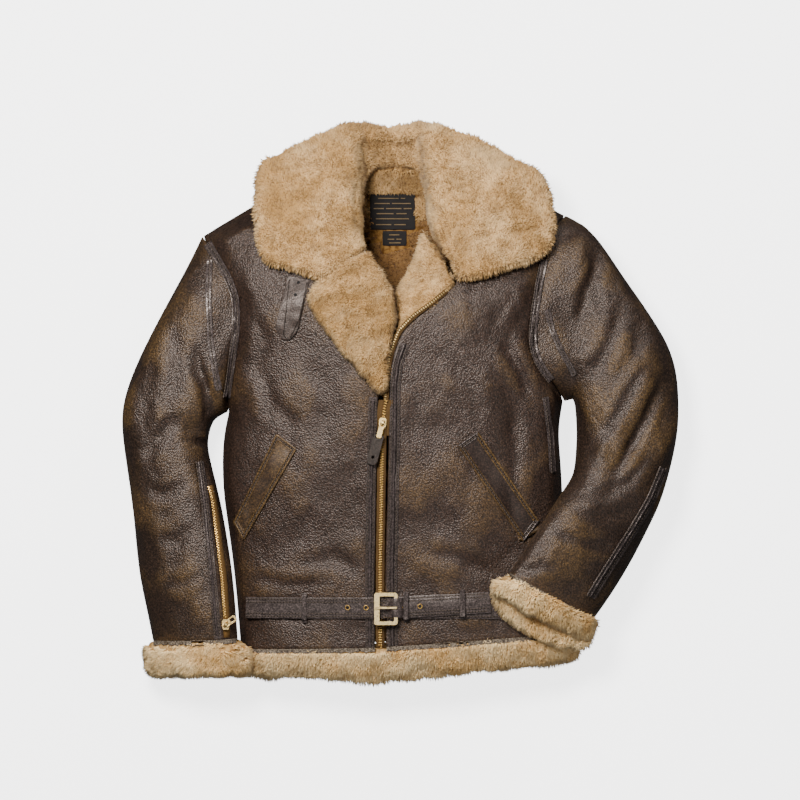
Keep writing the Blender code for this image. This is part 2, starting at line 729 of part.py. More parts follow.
collar_grid = []
for nx, ny, nz, px, py, pz, ox, oy, oz in COLLAR:
    neck, roll, edge = np.array((nx, ny)), np.array((px, py)), np.array((ox, oy))
    radius = min(ROLL, max(2.0, (pz - nz) * 0.5))
    away = unit(edge - roll)
    row = [(*neck, nz)]
    row.append((*(neck + 0.6 * (roll - neck)), nz + 0.6 * (pz - radius - nz)))
    row.append((*roll, pz - radius))
    row.append((*(roll + 0.293 * radius * away), pz - 0.293 * radius))
    row.append((*(roll + radius * away), pz))
    start = roll + radius * away
    for share in WING_SHARES:
        x, y = start + share * (edge - start)
        z = pz + (oz - pz) * share + 5 * math.sin(math.pi * share)
        if y < shoulder_line(x) + 6 and oy < py:
            z = max(z, body_top(x, min(y, shoulder_line(x)), False) + COLLAR_WALL + 2.0)
        row.append((x, y, z))
    collar_grid.append(row)
collar_grid = np.array(collar_grid)
collar_under = collar_grid - normals(collar_grid, (0, 0, 1)) * COLLAR_WALL
collar_tree = slab("collar", collar_grid, collar_under, "fleece")

fronts = [left_tree, right_tree]
lapel_plan = np.array([
    [(lx + (rx - lx) * s, ly + (ry - ly) * s) for s in (0, 0.2, 0.4, 0.6, 0.8, 1.0)]
    for lx, ly, rx, ry in LAPEL])
lapel_thick = np.full(lapel_plan.shape[:2], 13.0)
lapel_thick[:, (0, -1)] = 9.0
laid("lapel_left", [left_tree], lapel_plan, lapel_thick, "fleece", lift=1.2)

FLAP_INSET = 1.0

flap_outer = []
for x0, y0, x1, y1, inner_z in FLAP:
    row = []
    for share in (0, 0.25, 0.5, 0.75, 1.0):
        inset = FLAP_INSET / math.hypot(x1 - x0, y1 - y0)
        place = inset + (1 - inset) * share
        x, y = x0 + (x1 - x0) * place, y0 + (y1 - y0) * place
        edge_z = body_top(x0, y0) - 3
        row.append((x, y, edge_z + (inner_z - edge_z) * share ** 1.3))
    flap_outer.append(row)
flap_outer = np.array(flap_outer)
flap_inner = flap_outer - np.array([0, 0, COLLAR_WALL])
slab("flap_right", flap_outer, flap_inner, "fleece")

# Strips, plackets and the front zip

STRIP = 1.6
placket_left = laid("placket_left", [left_tree], ribbon_plan(
    [(-40.7, -335), (-41, -240), (-39.5, -135), (-37.5, -45), (-36, 4)], 12.0), STRIP, "strap")
placket_right = laid("placket_right", [right_tree], ribbon_plan(
    [(-10.2, -333), (-11, -240), (-9, -135), (-7, -45), (-6.5, 20), (-3, 50), (6, 76)], 14.0),
    STRIP, "strap")
tape_tree = laid("zip_tape", [], ribbon_plan(
    [(-26.7, -336), (-27, -240), (-25.4, -135), (-24.2, -45), (-23.6, -24)], ZIP_WIDTH, across=2),
    3.0, "tape", lift=-3.5)
laid("zip_open", [right_tree], ribbon_plan(
    [(-19, -4), (-18, 20), (-16, 45), (-10, 70), (-1, 93), (17, 112), (42, 130), (63, 147)], 7.0,
    step=11, across=2), 2.4, "tape")

left_armhole = [left_tree, left_top_tree]
right_armhole = [right_tree, right_top_tree]
laid("armhole_strip_left", left_armhole, ribbon_plan(
    [(-260, 212), (-249, 193), (-233, 166), (-223, 141), (-221, 116), (-222, 89), (-227, 58),
     (-233, 15), (-235, 4)], 12.0, across=5), STRIP, "strap", lift=1.4)
laid("armhole_strip_right", right_armhole, ribbon_plan(
    [(195, 190), (188, 158), (182, 120), (178, 84), (183, 58), (194, 39), (204, 27)],
    12.0, across=5), STRIP, "strap", lift=1.4)
laid("sleeve_seam_left", [left_top_tree], ribbon_plan(
    [(-258, 190), (-260, 142), (-257, 80), (-250, 35), (-246, 14)], 8.0), STRIP, "strap")
laid("sleeve_seam_right", [right_top_tree], ribbon_plan(
    [(199, 123), (205, 96), (216, 70), (229, 48), (236, 34)], 8.0), STRIP, "strap")
laid("side_strip_right", [right_tree], ribbon_plan(
    [(196, 4), (198, -10), (203, -50), (206, -98)], 8.0), STRIP, "strap")

# Sleeve zip on the left and the seam strip on the right

laid("sleeve_strip_left", [left_top_tree], ribbon_plan(
    [(-273, -84), (-266, -130), (-260, -187), (-253, -254), (-248, -312), (-247, -324)], 10.0),
    STRIP, "strap")
sleeve_zip_tree = laid("sleeve_zip_left", [left_top_tree], ribbon_plan(
    [(-258.5, -116), (-254, -132), (-247, -187), (-240, -241), (-236, -296), (-235.5, -322)], 8.0,
    across=2), 1.8, "tape")
laid("sleeve_strip_right", [right_top_tree], ribbon_plan(
    [(357, -92), (340, -133), (316, -174), (292, -210), (272, -241), (257, -266)], 13.0),
    STRIP, "strap")

# Pocket welts, a stitched frame round a sunk middle, and the throat strap

WELT_SHARES = (0, 0.2, 0.25, 0.75, 0.8, 1)
WELT_ENDS = (0, 0.05, 0.07, 0.25, 0.5, 0.75, 0.93, 0.95, 1)
welt_thick = np.full((len(WELT_ENDS), len(WELT_SHARES)), STRAP)
welt_thick[2:-2, 2:-2] = 1.2
laid("pocket_left", [left_tree], patch_plan(
    [(-167, -46), (-140, -66), (-212, -190), (-225, -165)], WELT_ENDS, WELT_SHARES),
    welt_thick, "strap", lift=1.0)
laid("pocket_right", [right_tree], patch_plan(
    [(78, -62), (105, -43), (188, -164), (167, -192)], WELT_ENDS, WELT_SHARES),
    welt_thick, "strap", lift=1.0)
THROAT_STRAP = ((-151, 168, -122, 162), (-160, 133, -130, 128), (-168, 98, -137, 96),
                (-166, 90, -141, 88), (-158, 82, -149, 81))
strap_rows = [[np.interp(row, range(5), column) for column in zip(*THROAT_STRAP)]
              for row in (0, 0.33, 0.67, 1, 1.33, 1.67, 2, 3, 4)]
laid("throat_strap", [left_tree], [
    [(lx + (rx - lx) * s, ly + (ry - ly) * s) for s in (0, 0.5, 1)]
    for lx, ly, rx, ry in strap_rows], STRAP, "strap")

# Belt: the right end lies under the buckle and under the tail of the left end

belt_bed = [left_tree, right_tree, placket_left, placket_right, tape_tree]
belt_right_tree = laid("belt_right", belt_bed, ribbon_plan(
    [(0, BELT_Y), (60, BELT_Y), (150, BELT_Y - 1), (214, BELT_Y - 3)], BELT_WIDTH), STRAP, "strap",
    spread=8.0)
belt_left_tree = laid("belt_left", [*belt_bed, belt_right_tree], ribbon_plan(
    [(-208, BELT_Y), (-20, BELT_Y), (0, BELT_Y + 1), (54, BELT_Y + 4), (109, BELT_Y + 7),
     (122, BELT_Y + 8)], BELT_WIDTH), STRAP, "strap", spread=8.0)


def loop_over(name, x, y, height):
    """A strip over the belt, down to the panel on both sides of it."""
    offsets = (-20, -17.2, -15.9, 0, 15.9, 17.2, 20)
    lifts = (LIFT, LIFT, height, height, height, LIFT, LIFT)
    plan = [[(x - 3.2, y + off), (x + 3.2, y + off)] for off in offsets]
    laid(name, [left_tree, right_tree], plan, 2.0, "strap", lift=[[lift] * 2 for lift in lifts],
         clear=[*belt_bed, belt_right_tree, belt_left_tree])


loop_over("belt_loop_left", -129, BELT_Y, 4.0)
loop_over("belt_loop_middle", 8, BELT_Y + 1.5, 8.0)
loop_over("belt_loop_right", 84, BELT_Y + 5, 7.2)


def prism(name, loops, low, high, look, place, origin=(0, 0, 0)):
    """A flat piece from its outline and its holes, between two heights of its own frame."""
    flat = [[Vector((u, v, 0.0)) for u, v in loop] for loop in loops]
    caps = [tuple(reversed(face)) for face in tessellate_polygon(flat)]
    corners = [point for loop in loops for point in loop]
    count = len(corners)
    points = [place(u, v, low) for u, v in corners] + [place(u, v, high) for u, v in corners]
    faces = [(a, b, c) for a, b, c in caps] + [(c + count, b + count, a + count) for a, b, c in caps]
    start = 0
    for loop in loops:
        size = len(loop)
        for k in range(size):
            a, b = start + k, start + (k + 1) % size
            faces += [(a, b, b + count), (a, b + count, a + count)]
        start += size
    made = node(name, points, faces, look, origin)
    made.data.validate()
    build = bmesh.new()
    build.from_mesh(made.data)
    bmesh.ops.recalc_face_normals(build, faces=build.faces)
    build.to_mesh(made.data)
    build.free()
    return made


def frame_at(origin, heading):
    """A frame with u across, v ahead and w up, at an origin."""
    ahead = unit([heading[0], heading[1]])
    across = np.array([ahead[1], -ahead[0]])

    def place(u, v, w):
        x, y = across * u + ahead * v
        return (origin[0] + x, origin[1] + y, origin[2] + w)

    return place


def box_loop(u0, v0, u1, v1):
    return [(u0, v0), (u1, v0), (u1, v1), (u0, v1)]


def arc_loop(radius, count=14, stretch=1.0):
    turns = [2 * math.pi * k / count for k in range(count)]
    return [(stretch * radius * math.cos(t), radius * math.sin(t)) for t in turns]


PIN = 1.6  # the pull's bar, square


def slider(name, spot, heading, pull_heading, base):
    """A slider's body with the bridge that the pull's bar turns in. Returns the bar's middle."""
    place = frame_at((spot[0], spot[1], base), heading)
    bridge_frame = frame_at((spot[0], spot[1], base), pull_heading)
    outline = [(-3.6, -7), (3.6, -7), (5.0, -2), (5.0, 4), (3.4, 7), (-3.4, 7), (-5.0, 4), (-5.0, -2)]
    body = prism(name, [outline], 0.0, 2.6, "brass", place)
    middle = 4.1

    def bridge_place(u, v, w):
        return bridge_frame(w, u, middle + v)

    bridge = prism(name + "_bridge", [arc_loop(3.6, 16, 1.15), arc_loop(2.1, 16, 1.15)], -1.4, 1.4,
                   "brass", bridge_place)
    bridge.hide_render = True
    bridge.display_type = "WIRE"
    join = body.modifiers.new("bridge", "BOOLEAN")
    join.operation = "UNION"
    join.solver = "EXACT"
    join.object = bridge
    return (spot[0], spot[1], base + middle)


def link(name, hinge, heading, length, width, slots, look="brass"):
    """A pull's plate, with the window that goes round the bridge."""
    place = frame_at(hinge, heading)
    half, edge = PIN / 2, width / 2
    outline = [(-edge, -half), (edge, -half), (edge, length - 1.5), (edge - 1.5, length),
               (1.5 - edge, length), (-edge, length - 1.5)]
    loops = [outline, box_loop(-2.4, half, 2.4, 5.4)[::-1]]
    loops += [box_loop(*slot)[::-1] for slot in slots]
    return prism(name, loops, -half, half, look, place, origin=hinge)


FRONT_SLIDER = (-23.5, -31)
FRONT_HEADING = (-0.27, -0.96)
front_base = height_on([tape_tree], FRONT_SLIDER[0], -25) + 0.5
front_hinge = slider("front_slider", FRONT_SLIDER, (0.03, 1), FRONT_HEADING, front_base)
link("front_zip_link", front_hinge, FRONT_HEADING, 21.0, 7.4, [])
tab_place = frame_at(front_hinge, FRONT_HEADING)
tab_outline = [(-7, 16.5), (-4.1, 16.5), (-4.1, 21.5), (4.1, 21.5), (4.1, 16.5), (7, 16.5),
               (7.5, 54), (4, 58), (-4, 58), (-7.5, 54)]
prism("front_zip_tab", [tab_outline, [(u, v + 48) for u, v in arc_loop(2.2, 10)][::-1]],
      -0.8, 1.6, "strap", tab_place, origin=front_hinge)

SLEEVE_SLIDER = (-236, -304)
sleeve_base = max(height_on([sleeve_zip_tree], SLEEVE_SLIDER[0] + dx, SLEEVE_SLIDER[1] + dy) or 0
                  for dx in (-3, 0, 3) for dy in (-7, 0, 7)) + 0.6
SLEEVE_HEADING = (0.8, 0.6)
sleeve_hinge = slider("sleeve_slider", SLEEVE_SLIDER, (-0.03, 1), SLEEVE_HEADING, sleeve_base)
link("sleeve_zip_pull", sleeve_hinge, SLEEVE_HEADING, 17.0, 9.0, [(-2.4, 8.0, 2.4, 14.0)])

# Buckle

BUCKLE = (-35.0, -304.5, -3.0, -260.5)
buckle_base = max(height_on([belt_left_tree], x, y) or 0
                  for x in (-36, -28, -19, -10, -2) for y in (-293, -282, -270)) + 0.6
buckle_place = frame_at((0, 0, buckle_base), (0, 1))
x0, y0, x1, y1 = BUCKLE
buckle_outline = [(x0 + 2, y0), (x1 - 3, y0), (x1, y0 + 3), (x1, y1 - 3), (x1 - 3, y1), (x0 + 2, y1),
                  (x0, y1 - 2), (x0, y0 + 2)]
buckle_hole = box_loop(x0 + 7.5, y0 + 5, x1 - 5, y1 - 5)[::-1]
prism("buckle_frame", [buckle_outline, buckle_hole], 0.0, 3.2, "brass", buckle_place)
prism("buckle_prong", [box_loop(x0 + 2, -282.4, x1 - 1, -279.6)], 3.6, 6.0, "brass", buckle_place)

# Labels inside the neck, without lettering

inside = BVHTree.FromPolygons(
    back_parts[1].reshape(-1, 3).tolist(), grid_faces(len(back_rows), BACK_COLUMNS, 0))
laid("neck_label", [inside], patch_plan(
    [(-41, 233), (21, 233), (21, 282), (-41, 282)], (0, 0.33, 0.67, 1), (0, 0.33, 0.67, 1)),
    1.2, "woven")
laid("size_tab", [inside], patch_plan(
    [(-24, 211), (9, 211), (9, 231.5), (-24, 231.5)], (0, 1), (0, 0.5, 1)), 1.0, "woven")
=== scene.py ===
"""The looks of a sheepskin flying jacket laid out on its back.

Sizes are in metres in the part's own frame: X to the right of the laid jacket, Y from the hem to
the collar, Z up. Paths and folds on the jacket are listed in millimetres.
"""

import math

import bmesh
import bpy
import numpy as np
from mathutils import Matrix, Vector, noise
from mathutils.bvhtree import BVHTree
from mathutils.kdtree import KDTree


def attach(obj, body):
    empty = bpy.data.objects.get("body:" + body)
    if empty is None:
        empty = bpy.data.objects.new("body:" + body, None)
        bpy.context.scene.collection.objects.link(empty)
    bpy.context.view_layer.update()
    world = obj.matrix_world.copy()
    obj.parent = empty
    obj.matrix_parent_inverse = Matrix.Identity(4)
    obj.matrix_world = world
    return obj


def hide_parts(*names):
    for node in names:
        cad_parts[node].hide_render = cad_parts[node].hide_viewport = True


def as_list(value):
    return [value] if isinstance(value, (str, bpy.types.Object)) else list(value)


MM = 0.001
JACKET = "jacket"

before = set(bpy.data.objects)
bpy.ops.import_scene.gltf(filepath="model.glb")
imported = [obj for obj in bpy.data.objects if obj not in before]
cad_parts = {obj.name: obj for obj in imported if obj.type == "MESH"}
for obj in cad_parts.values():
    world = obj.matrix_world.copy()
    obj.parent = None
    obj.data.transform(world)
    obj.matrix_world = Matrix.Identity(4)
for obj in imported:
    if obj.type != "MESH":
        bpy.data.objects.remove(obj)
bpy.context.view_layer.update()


# Node trees


class Value:
    """A socket that arithmetic works on."""

    def __init__(self, graph, socket):
        self.graph, self.socket = graph, socket

    def maths(self, operation, *values):
        return self.graph.add("ShaderNodeMath", {"operation": operation}, dict(enumerate(values)))

    def __add__(self, other):
        return self.maths("ADD", self, other)

    def __sub__(self, other):
        return self.maths("SUBTRACT", self, other)

    def __mul__(self, other):
        return self.maths("MULTIPLY", self, other)

    def __rsub__(self, other):
        return self.maths("SUBTRACT", other, self)

    __radd__, __rmul__ = __add__, __mul__

    def above(self, low, high):
        """0 below one level, 1 above another, smooth between."""
        return self.graph.add(
            "ShaderNodeMapRange",
            {"interpolation_type": "SMOOTHSTEP"},
            {0: self, 1: low, 2: high, 3: 0.0, 4: 1.0},
        )

    def capped(self):
        return self.graph.add("ShaderNodeClamp", {}, {0: self})


class Graph:
    """A node tree and the one method that adds a node to it."""

    def __init__(self, tree):
        self.tree = tree

    def add(self, kind, settings=None, values=None, output=0):
        made = self.tree.nodes.new(kind)
        for key, value in (settings or {}).items():
            setattr(made, key, value)
        for key, value in (values or {}).items():
            if isinstance(value, Value):
                self.tree.links.new(value.socket, made.inputs[key])
            else:
                made.inputs[key].default_value = value
        return Value(self, made.outputs[output])


class Look(Graph):
    """A material."""

    def __init__(self, name, **constants):
        self.material = bpy.data.materials.new(name)
        self.material.use_nodes = True
        super().__init__(self.material.node_tree)
        self.shader = self.tree.nodes["Principled BSDF"]
        self.place = self.add("ShaderNodeTexCoord", output="Object")
        for key, value in constants.items():
            self.shader.inputs[key.replace("_", " ")].default_value = value

    def noise(self, scale, detail=2.0, distortion=0.0, roughness=0.5):
        values = {"Vector": self.place, "Scale": scale, "Detail": detail, "Roughness": roughness}
        return self.add("ShaderNodeTexNoise", {}, {"Distortion": distortion, **values})

    def cells(self, scale):
        values = {"Vector": self.place, "Scale": scale}
        return self.add("ShaderNodeTexVoronoi", {"feature": "F1"}, values)

    def painted(self, name):
        """A number kept on the mesh."""
        return self.add("ShaderNodeAttribute", {"attribute_name": name}, output="Fac")

    def mix(self, share, first, second):
        values = {0: share, 6: colour(first), 7: colour(second)}
        return self.add("ShaderNodeMix", {"data_type": "RGBA"}, values, 2)

    def bump(self, height, distance, strength):
        values = {"Height": height, "Distance": distance, "Strength": strength}
        return self.add("ShaderNodeBump", {}, values)

    def finish(self, **parts):
        for key, value in parts.items():
            self.tree.links.new(value.socket, self.shader.inputs[key.replace("_", " ")])
        return self.material


def colour(value):
    return value if isinstance(value, Value) else (*value, 1.0)


# Materials


def leather_look(name, dark, brown, gold, rubbed, gloss, pebbles=430, relief=0.001, sheen=0.5):
    """Dark leather with a pebbled grain, its finish rubbed through to brown and gold in places."""
    look = Look(name, Specular_IOR_Level=sheen, Specular_Tint=(1.0, 0.86, 0.78, 1.0))
    mottle = look.noise(13, 6, 0.7, 0.62)
    patch = look.noise(4.6, 3, 0.9, 0.5)
    fleck = look.noise(470, 4, 0.3, 0.8)
    pebble = look.cells(pebbles)
    furrow = pebble.above(0.4, 0.8)
    worn = look.painted("worn")
    rub = (mottle * 0.8 + patch * 0.55 + worn * 0.6).above(1.0 - rubbed, 1.72 - rubbed)
    shade = look.mix(fleck.above(0.4, 0.66), [c * 0.22 for c in dark], [c * 2.35 for c in dark])
    bright = look.mix(fleck.above(0.44, 0.68), brown, gold)
    deep = (rub * (fleck * 1.5 - 0.1)).capped()
    shade = look.mix(deep, shade, bright)
    shade = look.mix(furrow * 0.6, shade, [c * 0.15 for c in dark])
    height = (1 - pebble) * 0.75 + fleck * 0.3 + look.noise(90, 2) * 0.5
    roughness = gloss + mottle * 0.12 + furrow * 0.15 + deep * 0.12
    return look.finish(Base_Color=shade, Roughness=roughness, Normal=look.bump(height, relief, 0.9))


def wool_look(name, root, body, cream, light):
    """Wool: brown at the roots, partly painted shade, golden along the curls, pale at the tips."""
    look = Look(name, Roughness=1.0, Specular_IOR_Level=0.1, Sheen_Weight=0.12, Sheen_Roughness=0.7)
    broad = look.noise(13, 3, 0.5)
    spot = look.noise(60, 3, 0.4)
    tip = look.painted("tip")
    own = look.painted("own")
    lock = look.noise(170, 3, 0.8)
    golden = tip * 0.8 + spot * 0.6 + own * 0.25 + lock * 0.9
    # The root colour, where tips and noise are low, is partly painted shade between the curls.
    shade = look.mix(golden.above(0.94, 1.46), root, body)
    paler = own * 0.3 + broad * 1.3 + spot * 0.6 + tip * 0.35 + lock * 0.3 + light
    shade = look.mix(paler.above(1.15, 1.95), shade, cream)
    return look.finish(Base_Color=shade, Normal=look.bump(look.noise(420, 3), 0.0005, 0.4))


def pile_look(name, root, body):
    """The skin side of the fleece between its curls, and the lining where no curls stand."""
    look = Look(name, Roughness=1.0, Specular_IOR_Level=0.1)
    clump = look.noise(150, 4, 0.6, 0.6)
    shade = look.mix(clump.above(0.35, 0.65), root, body)
    normal = look.bump(clump + look.noise(600, 2) * 0.3, 0.0014, 0.8)
    return look.finish(Base_Color=shade, Normal=normal)


def metal_look(name, bright, dull, smooth):
    look = Look(name, Metallic=1.0)
    tarnish = look.noise(330, 4, 0.3)
    shade = look.mix(tarnish.above(0.45, 0.75), bright, dull)
    return look.finish(
        Base_Color=shade,
        Roughness=smooth + tarnish * 0.25,
        Normal=look.bump(look.noise(900, 3), 0.0001, 0.4),
    )


def cloth_look(name, dark, light, scale):
    """Woven tape: two crossed sets of threads."""
    look = Look(name, Specular_IOR_Level=0.2)
    values = {"Vector": look.place, "Scale": scale}
    x, y = [look.add("ShaderNodeTexWave", {"bands_direction": way}, values) for way in ("X", "Y")]
    weave = x * 0.5 + y * 0.5
    shade = look.mix((weave + look.noise(90) * 0.4).above(0.3, 0.9), dark, light)
    return look.finish(
        Base_Color=shade, Roughness=weave * 0.15 + 0.75, Normal=look.bump(weave, 0.0002, 0.6)
    )


LEATHER = leather_look(
    "leather", (0.029, 0.0165, 0.0115), (0.070, 0.039, 0.016), (0.20, 0.112, 0.034), 0.19, 0.31)
SLEEVE_LEATHER = leather_look(
    "sleeve_leather", (0.028, 0.0165, 0.011), (0.074, 0.042, 0.016), (0.21, 0.118, 0.035), 0.26,
    0.32)
# A darker, duller copy of the leather: painted shade for the back and the sleeves' undersides.
SHADED_LEATHER = leather_look(
    "shaded_leather", (0.014, 0.0082, 0.0055), (0.040, 0.023, 0.010), (0.11, 0.062, 0.02), 0.2, 0.5,
    sheen=0.1)
STRAP_LEATHER = leather_look(
    "strap_leather", (0.056, 0.043, 0.040), (0.088, 0.062, 0.046), (0.17, 0.10, 0.04), -0.25, 0.23,
    500, 0.0003)
WELT_LEATHER = leather_look(
    "welt_leather", (0.038, 0.021, 0.010), (0.095, 0.054, 0.018), (0.24, 0.138, 0.042), 0.4, 0.36,
    500, 0.0004)
THROAT_LEATHER = leather_look(
    "throat_leather", (0.024, 0.0145, 0.011), (0.052, 0.030, 0.016), (0.15, 0.088, 0.035), -0.2,
    0.34, 500, 0.0003)
# Dark leather of the zip tab, also painted shade in the stitch grooves and along the throat strap's
# edges.
DARK_LEATHER_AND_GROOVE_SHADE = leather_look(
    "dark_leather", (0.010, 0.006, 0.004), (0.028, 0.016, 0.008), (0.05, 0.03, 0.012), -0.3, 0.5,
    500, 0.0002)
PIPING = leather_look(
    "piping", (0.08, 0.045, 0.017), (0.17, 0.10, 0.035), (0.36, 0.22, 0.08), 0.3, 0.36, 600, 0.0002)
RAW_EDGE = leather_look(
    "raw_edge", (0.12, 0.095, 0.07), (0.22, 0.175, 0.12), (0.38, 0.31, 0.22), 0.2, 0.7)
COLLAR_WOOL = wool_look(
    "collar_wool", (0.20, 0.105, 0.034), (0.46, 0.262, 0.085), (0.78, 0.54, 0.27), -0.1)
# A darker copy of the collar wool: painted shade for the collar's top behind the neck and the
# fleece inside the neck.
NECK_SHADE_WOOL = wool_look(
    "neck_wool", (0.15, 0.075, 0.022), (0.40, 0.222, 0.070), (0.70, 0.46, 0.215), -0.08)
# Darker still: painted shade for the fleece deep inside the neck, below the labels.
INNER_SHADE_WOOL = wool_look(
    "inner_wool", (0.085, 0.038, 0.010), (0.23, 0.115, 0.034), (0.40, 0.225, 0.08), -0.2)
EDGE_FUR = wool_look(
    "edge_fur", (0.33, 0.155, 0.036), (0.77, 0.45, 0.14), (0.97, 0.73, 0.39), 0.12)
PILE = pile_look("pile", (0.30, 0.165, 0.058), (0.52, 0.33, 0.14))
# The lining's pile, darkened as painted shade for the panels' inner faces.
LINING_SHADE = pile_look("lining_pile", (0.09, 0.04, 0.010), (0.24, 0.125, 0.036))
BRASS = metal_look("brass", (0.83, 0.60, 0.27), (0.42, 0.27, 0.10), 0.22)
BUCKLE_BRASS = metal_look("buckle_brass", (0.80, 0.61, 0.30), (0.36, 0.24, 0.10), 0.28)
DULL_BRASS = metal_look("dull_brass", (0.62, 0.38, 0.12), (0.24, 0.14, 0.04), 0.32)
TAPE = cloth_look("zip_tape_cloth", (0.035, 0.017, 0.006), (0.12, 0.065, 0.02), 900)
LABEL = cloth_look("label_cloth", (0.008, 0.007, 0.007), (0.022, 0.019, 0.018), 1100)
LABEL_THREAD = cloth_look("label_thread", (0.10, 0.065, 0.03), (0.26, 0.18, 0.09), 1500)
GOLD_TAPE = cloth_look("gold_tape_cloth", (0.058, 0.029, 0.008), (0.16, 0.085, 0.024), 900)
THREAD = cloth_look("thread", (0.045, 0.034, 0.028), (0.12, 0.09, 0.07), 1500)
# Near-black discs over the punched holes: painted shade of the holes' depth.
hole_shade_look = Look("punched_hole", Roughness=0.9)
HOLE_SHADE = hole_shade_look.finish(
    Base_Color=hole_shade_look.mix(hole_shade_look.noise(400), (0.004, 0.003, 0.003), (0.01, 0.008, 0.007)))


# Mesh tools

GROUND = 0.0003  # no piece's point lies lower over the floor
SKY = 0.4  # rays look down from here, over every piece
MERGED = 0.00002  # CAD points nearer to each other than this become one


def coated(mesh, look):
    """Gives a mesh one material."""
    mesh.materials.clear()
    mesh.materials.append(look)


def smoothed(mesh):
    mesh.polygons.foreach_set("use_smooth", [True] * len(mesh.polygons))


def new_object(name, mesh, look):
    coated(mesh, look)
    made = bpy.data.objects.new(name, mesh)
    bpy.context.scene.collection.objects.link(made)
    return made


def mesh_of(name, points, faces, edges=()):
    mesh = bpy.data.meshes.new(name)
    mesh.from_pydata(points, edges, faces)
    return mesh


def turned_out(mesh):
    """Turns the faces of a closed mesh outward."""
    build = bmesh.new()
    build.from_mesh(mesh)
    bmesh.ops.recalc_face_normals(build, faces=build.faces)
    build.to_mesh(mesh)
    build.free()


def vectors_of(items, key):
    flat = np.empty(len(items) * 3, np.float32)
    items.foreach_get(key, flat)
    return flat.reshape(-1, 3).astype(float)


def points_of(mesh):
    return vectors_of(mesh.vertices, "co")


def normals_of(mesh):
    return vectors_of(mesh.vertex_normals, "vector")


def set_points(mesh, points):
    """Moves a mesh's points, none of them below the surface that the jacket lies on."""
    points = np.array(points, float)
    points[:, 2] = np.maximum(points[:, 2], GROUND)
    mesh.vertices.foreach_set("co", np.asarray(points, np.float32).ravel())
    mesh.update()


def evaluated(made):
    bpy.context.view_layer.update()
    graph = bpy.context.evaluated_depsgraph_get()
    return bpy.data.meshes.new_from_object(made.evaluated_get(graph))


def refined(name, node, look, level, sharp=38, bevel=0.0):
    """A smooth, finer copy of a CAD solid that keeps its rims."""
    build = bmesh.new()
    build.from_mesh(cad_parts[node].data)
    bmesh.ops.remove_doubles(build, verts=build.verts, dist=MERGED)
    bmesh.ops.join_triangles(
        build, faces=build.faces, angle_face_threshold=1.2, angle_shape_threshold=2.6)
    crease = build.edges.layers.float.new("crease_edge")
    for edge in build.edges:
        if edge.calc_face_angle(0) > math.radians(sharp):
            edge[crease] = 0.0 if bevel else 0.9
            edge.smooth = not bevel
    mesh = bpy.data.meshes.new(name)
    build.to_mesh(mesh)
    build.free()
    made = new_object(name, mesh, look)
    if bevel:
        rounded = made.modifiers.new("rounded", "BEVEL")
        rounded.width = bevel
        rounded.segments = 2
        rounded.limit_method = "ANGLE"
        rounded.angle_limit = math.radians(sharp)
    if level:
        smooth = made.modifiers.new("smooth", "SUBSURF")
        smooth.levels = smooth.render_levels = level
    made.data = evaluated(made)
    made.modifiers.clear()
    coated(made.data, look)
    smoothed(made.data)
    return made


def thickened(made, wall, levels=0):
    """Gives a sheet of faces a wall, and smooths it where levels are given."""
    made.modifiers.new("wall", "SOLIDIFY").thickness = wall
    if levels:
        made.modifiers.new("smooth", "SUBSURF").levels = levels
    made.data = evaluated(made)
    made.modifiers.clear()


def tree_of(made):
    mesh = made.data
    return BVHTree.FromPolygons(
        [v.co[:] for v in mesh.vertices], [p.vertices[:] for p in mesh.polygons])


def top_of(trees, x, y):
    """The highest surface of several at a point."""
    found = [tree.ray_cast(Vector((x, y, SKY)), Vector((0, 0, -1)))[0] for tree in trees]
    found = [hit.z for hit in found if hit is not None]
    return max(found) if found else None


def painted(mesh, name, values):
    """Keeps a number for each point of a mesh, for its material."""
    layer = mesh.attributes.get(name) or mesh.attributes.new(name, "FLOAT", "POINT")
    layer.data.foreach_set("value", np.asarray(values, np.float32))


def evenly_worn(made, amount):
    painted(made.data, "worn", np.full(len(made.data.vertices), amount))


def ready(made, node, body=JACKET, stands=True):
    """A finished piece rides on its body, and stands for its CAD node or adds to it."""
    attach(made, body)
    if stands:
        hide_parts(node)
    return made


# What the cloth wraps round, so that a face is known to look out or in: a middle line in each
# sleeve, and in the body a flat strip of this half width at this height
SPINES = {
    "left": [(-262, 85, 58), (-310, 0, 57), (-318, -55, 56), (-303, -147, 59), (-291, -240, 61),
             (-278, -328, 57)],
    "right": [(238, 120, 60), (290, 60, 59), (310, -20, 62), (295, -110, 76), (265, -170, 92),
              (225, -230, 105), (205, -266, 106)],
}
STRIP_HALF, STRIP_HEIGHT = 0.15, 0.055


def away(points, spine):
    """From the nearest point of a spine to each point."""
    if spine == "body":
        near = points.copy()
        near[:, 0] = np.clip(points[:, 0], -STRIP_HALF, STRIP_HALF)
        near[:, 2] = STRIP_HEIGHT
        return points - near
    line = np.array(SPINES[spine]) * MM
    best = np.full(len(points), 1e9)
    out = np.zeros_like(points)
    for a, b in zip(line, line[1:]):
        along = np.clip(((points - a) @ (b - a)) / ((b - a) @ (b - a)), 0, 1)
        gap = points - (a + along[:, None] * (b - a))
        size = np.linalg.norm(gap, axis=1)
        out[size < best] = gap[size < best]
        best = np.minimum(best, size)
    return out


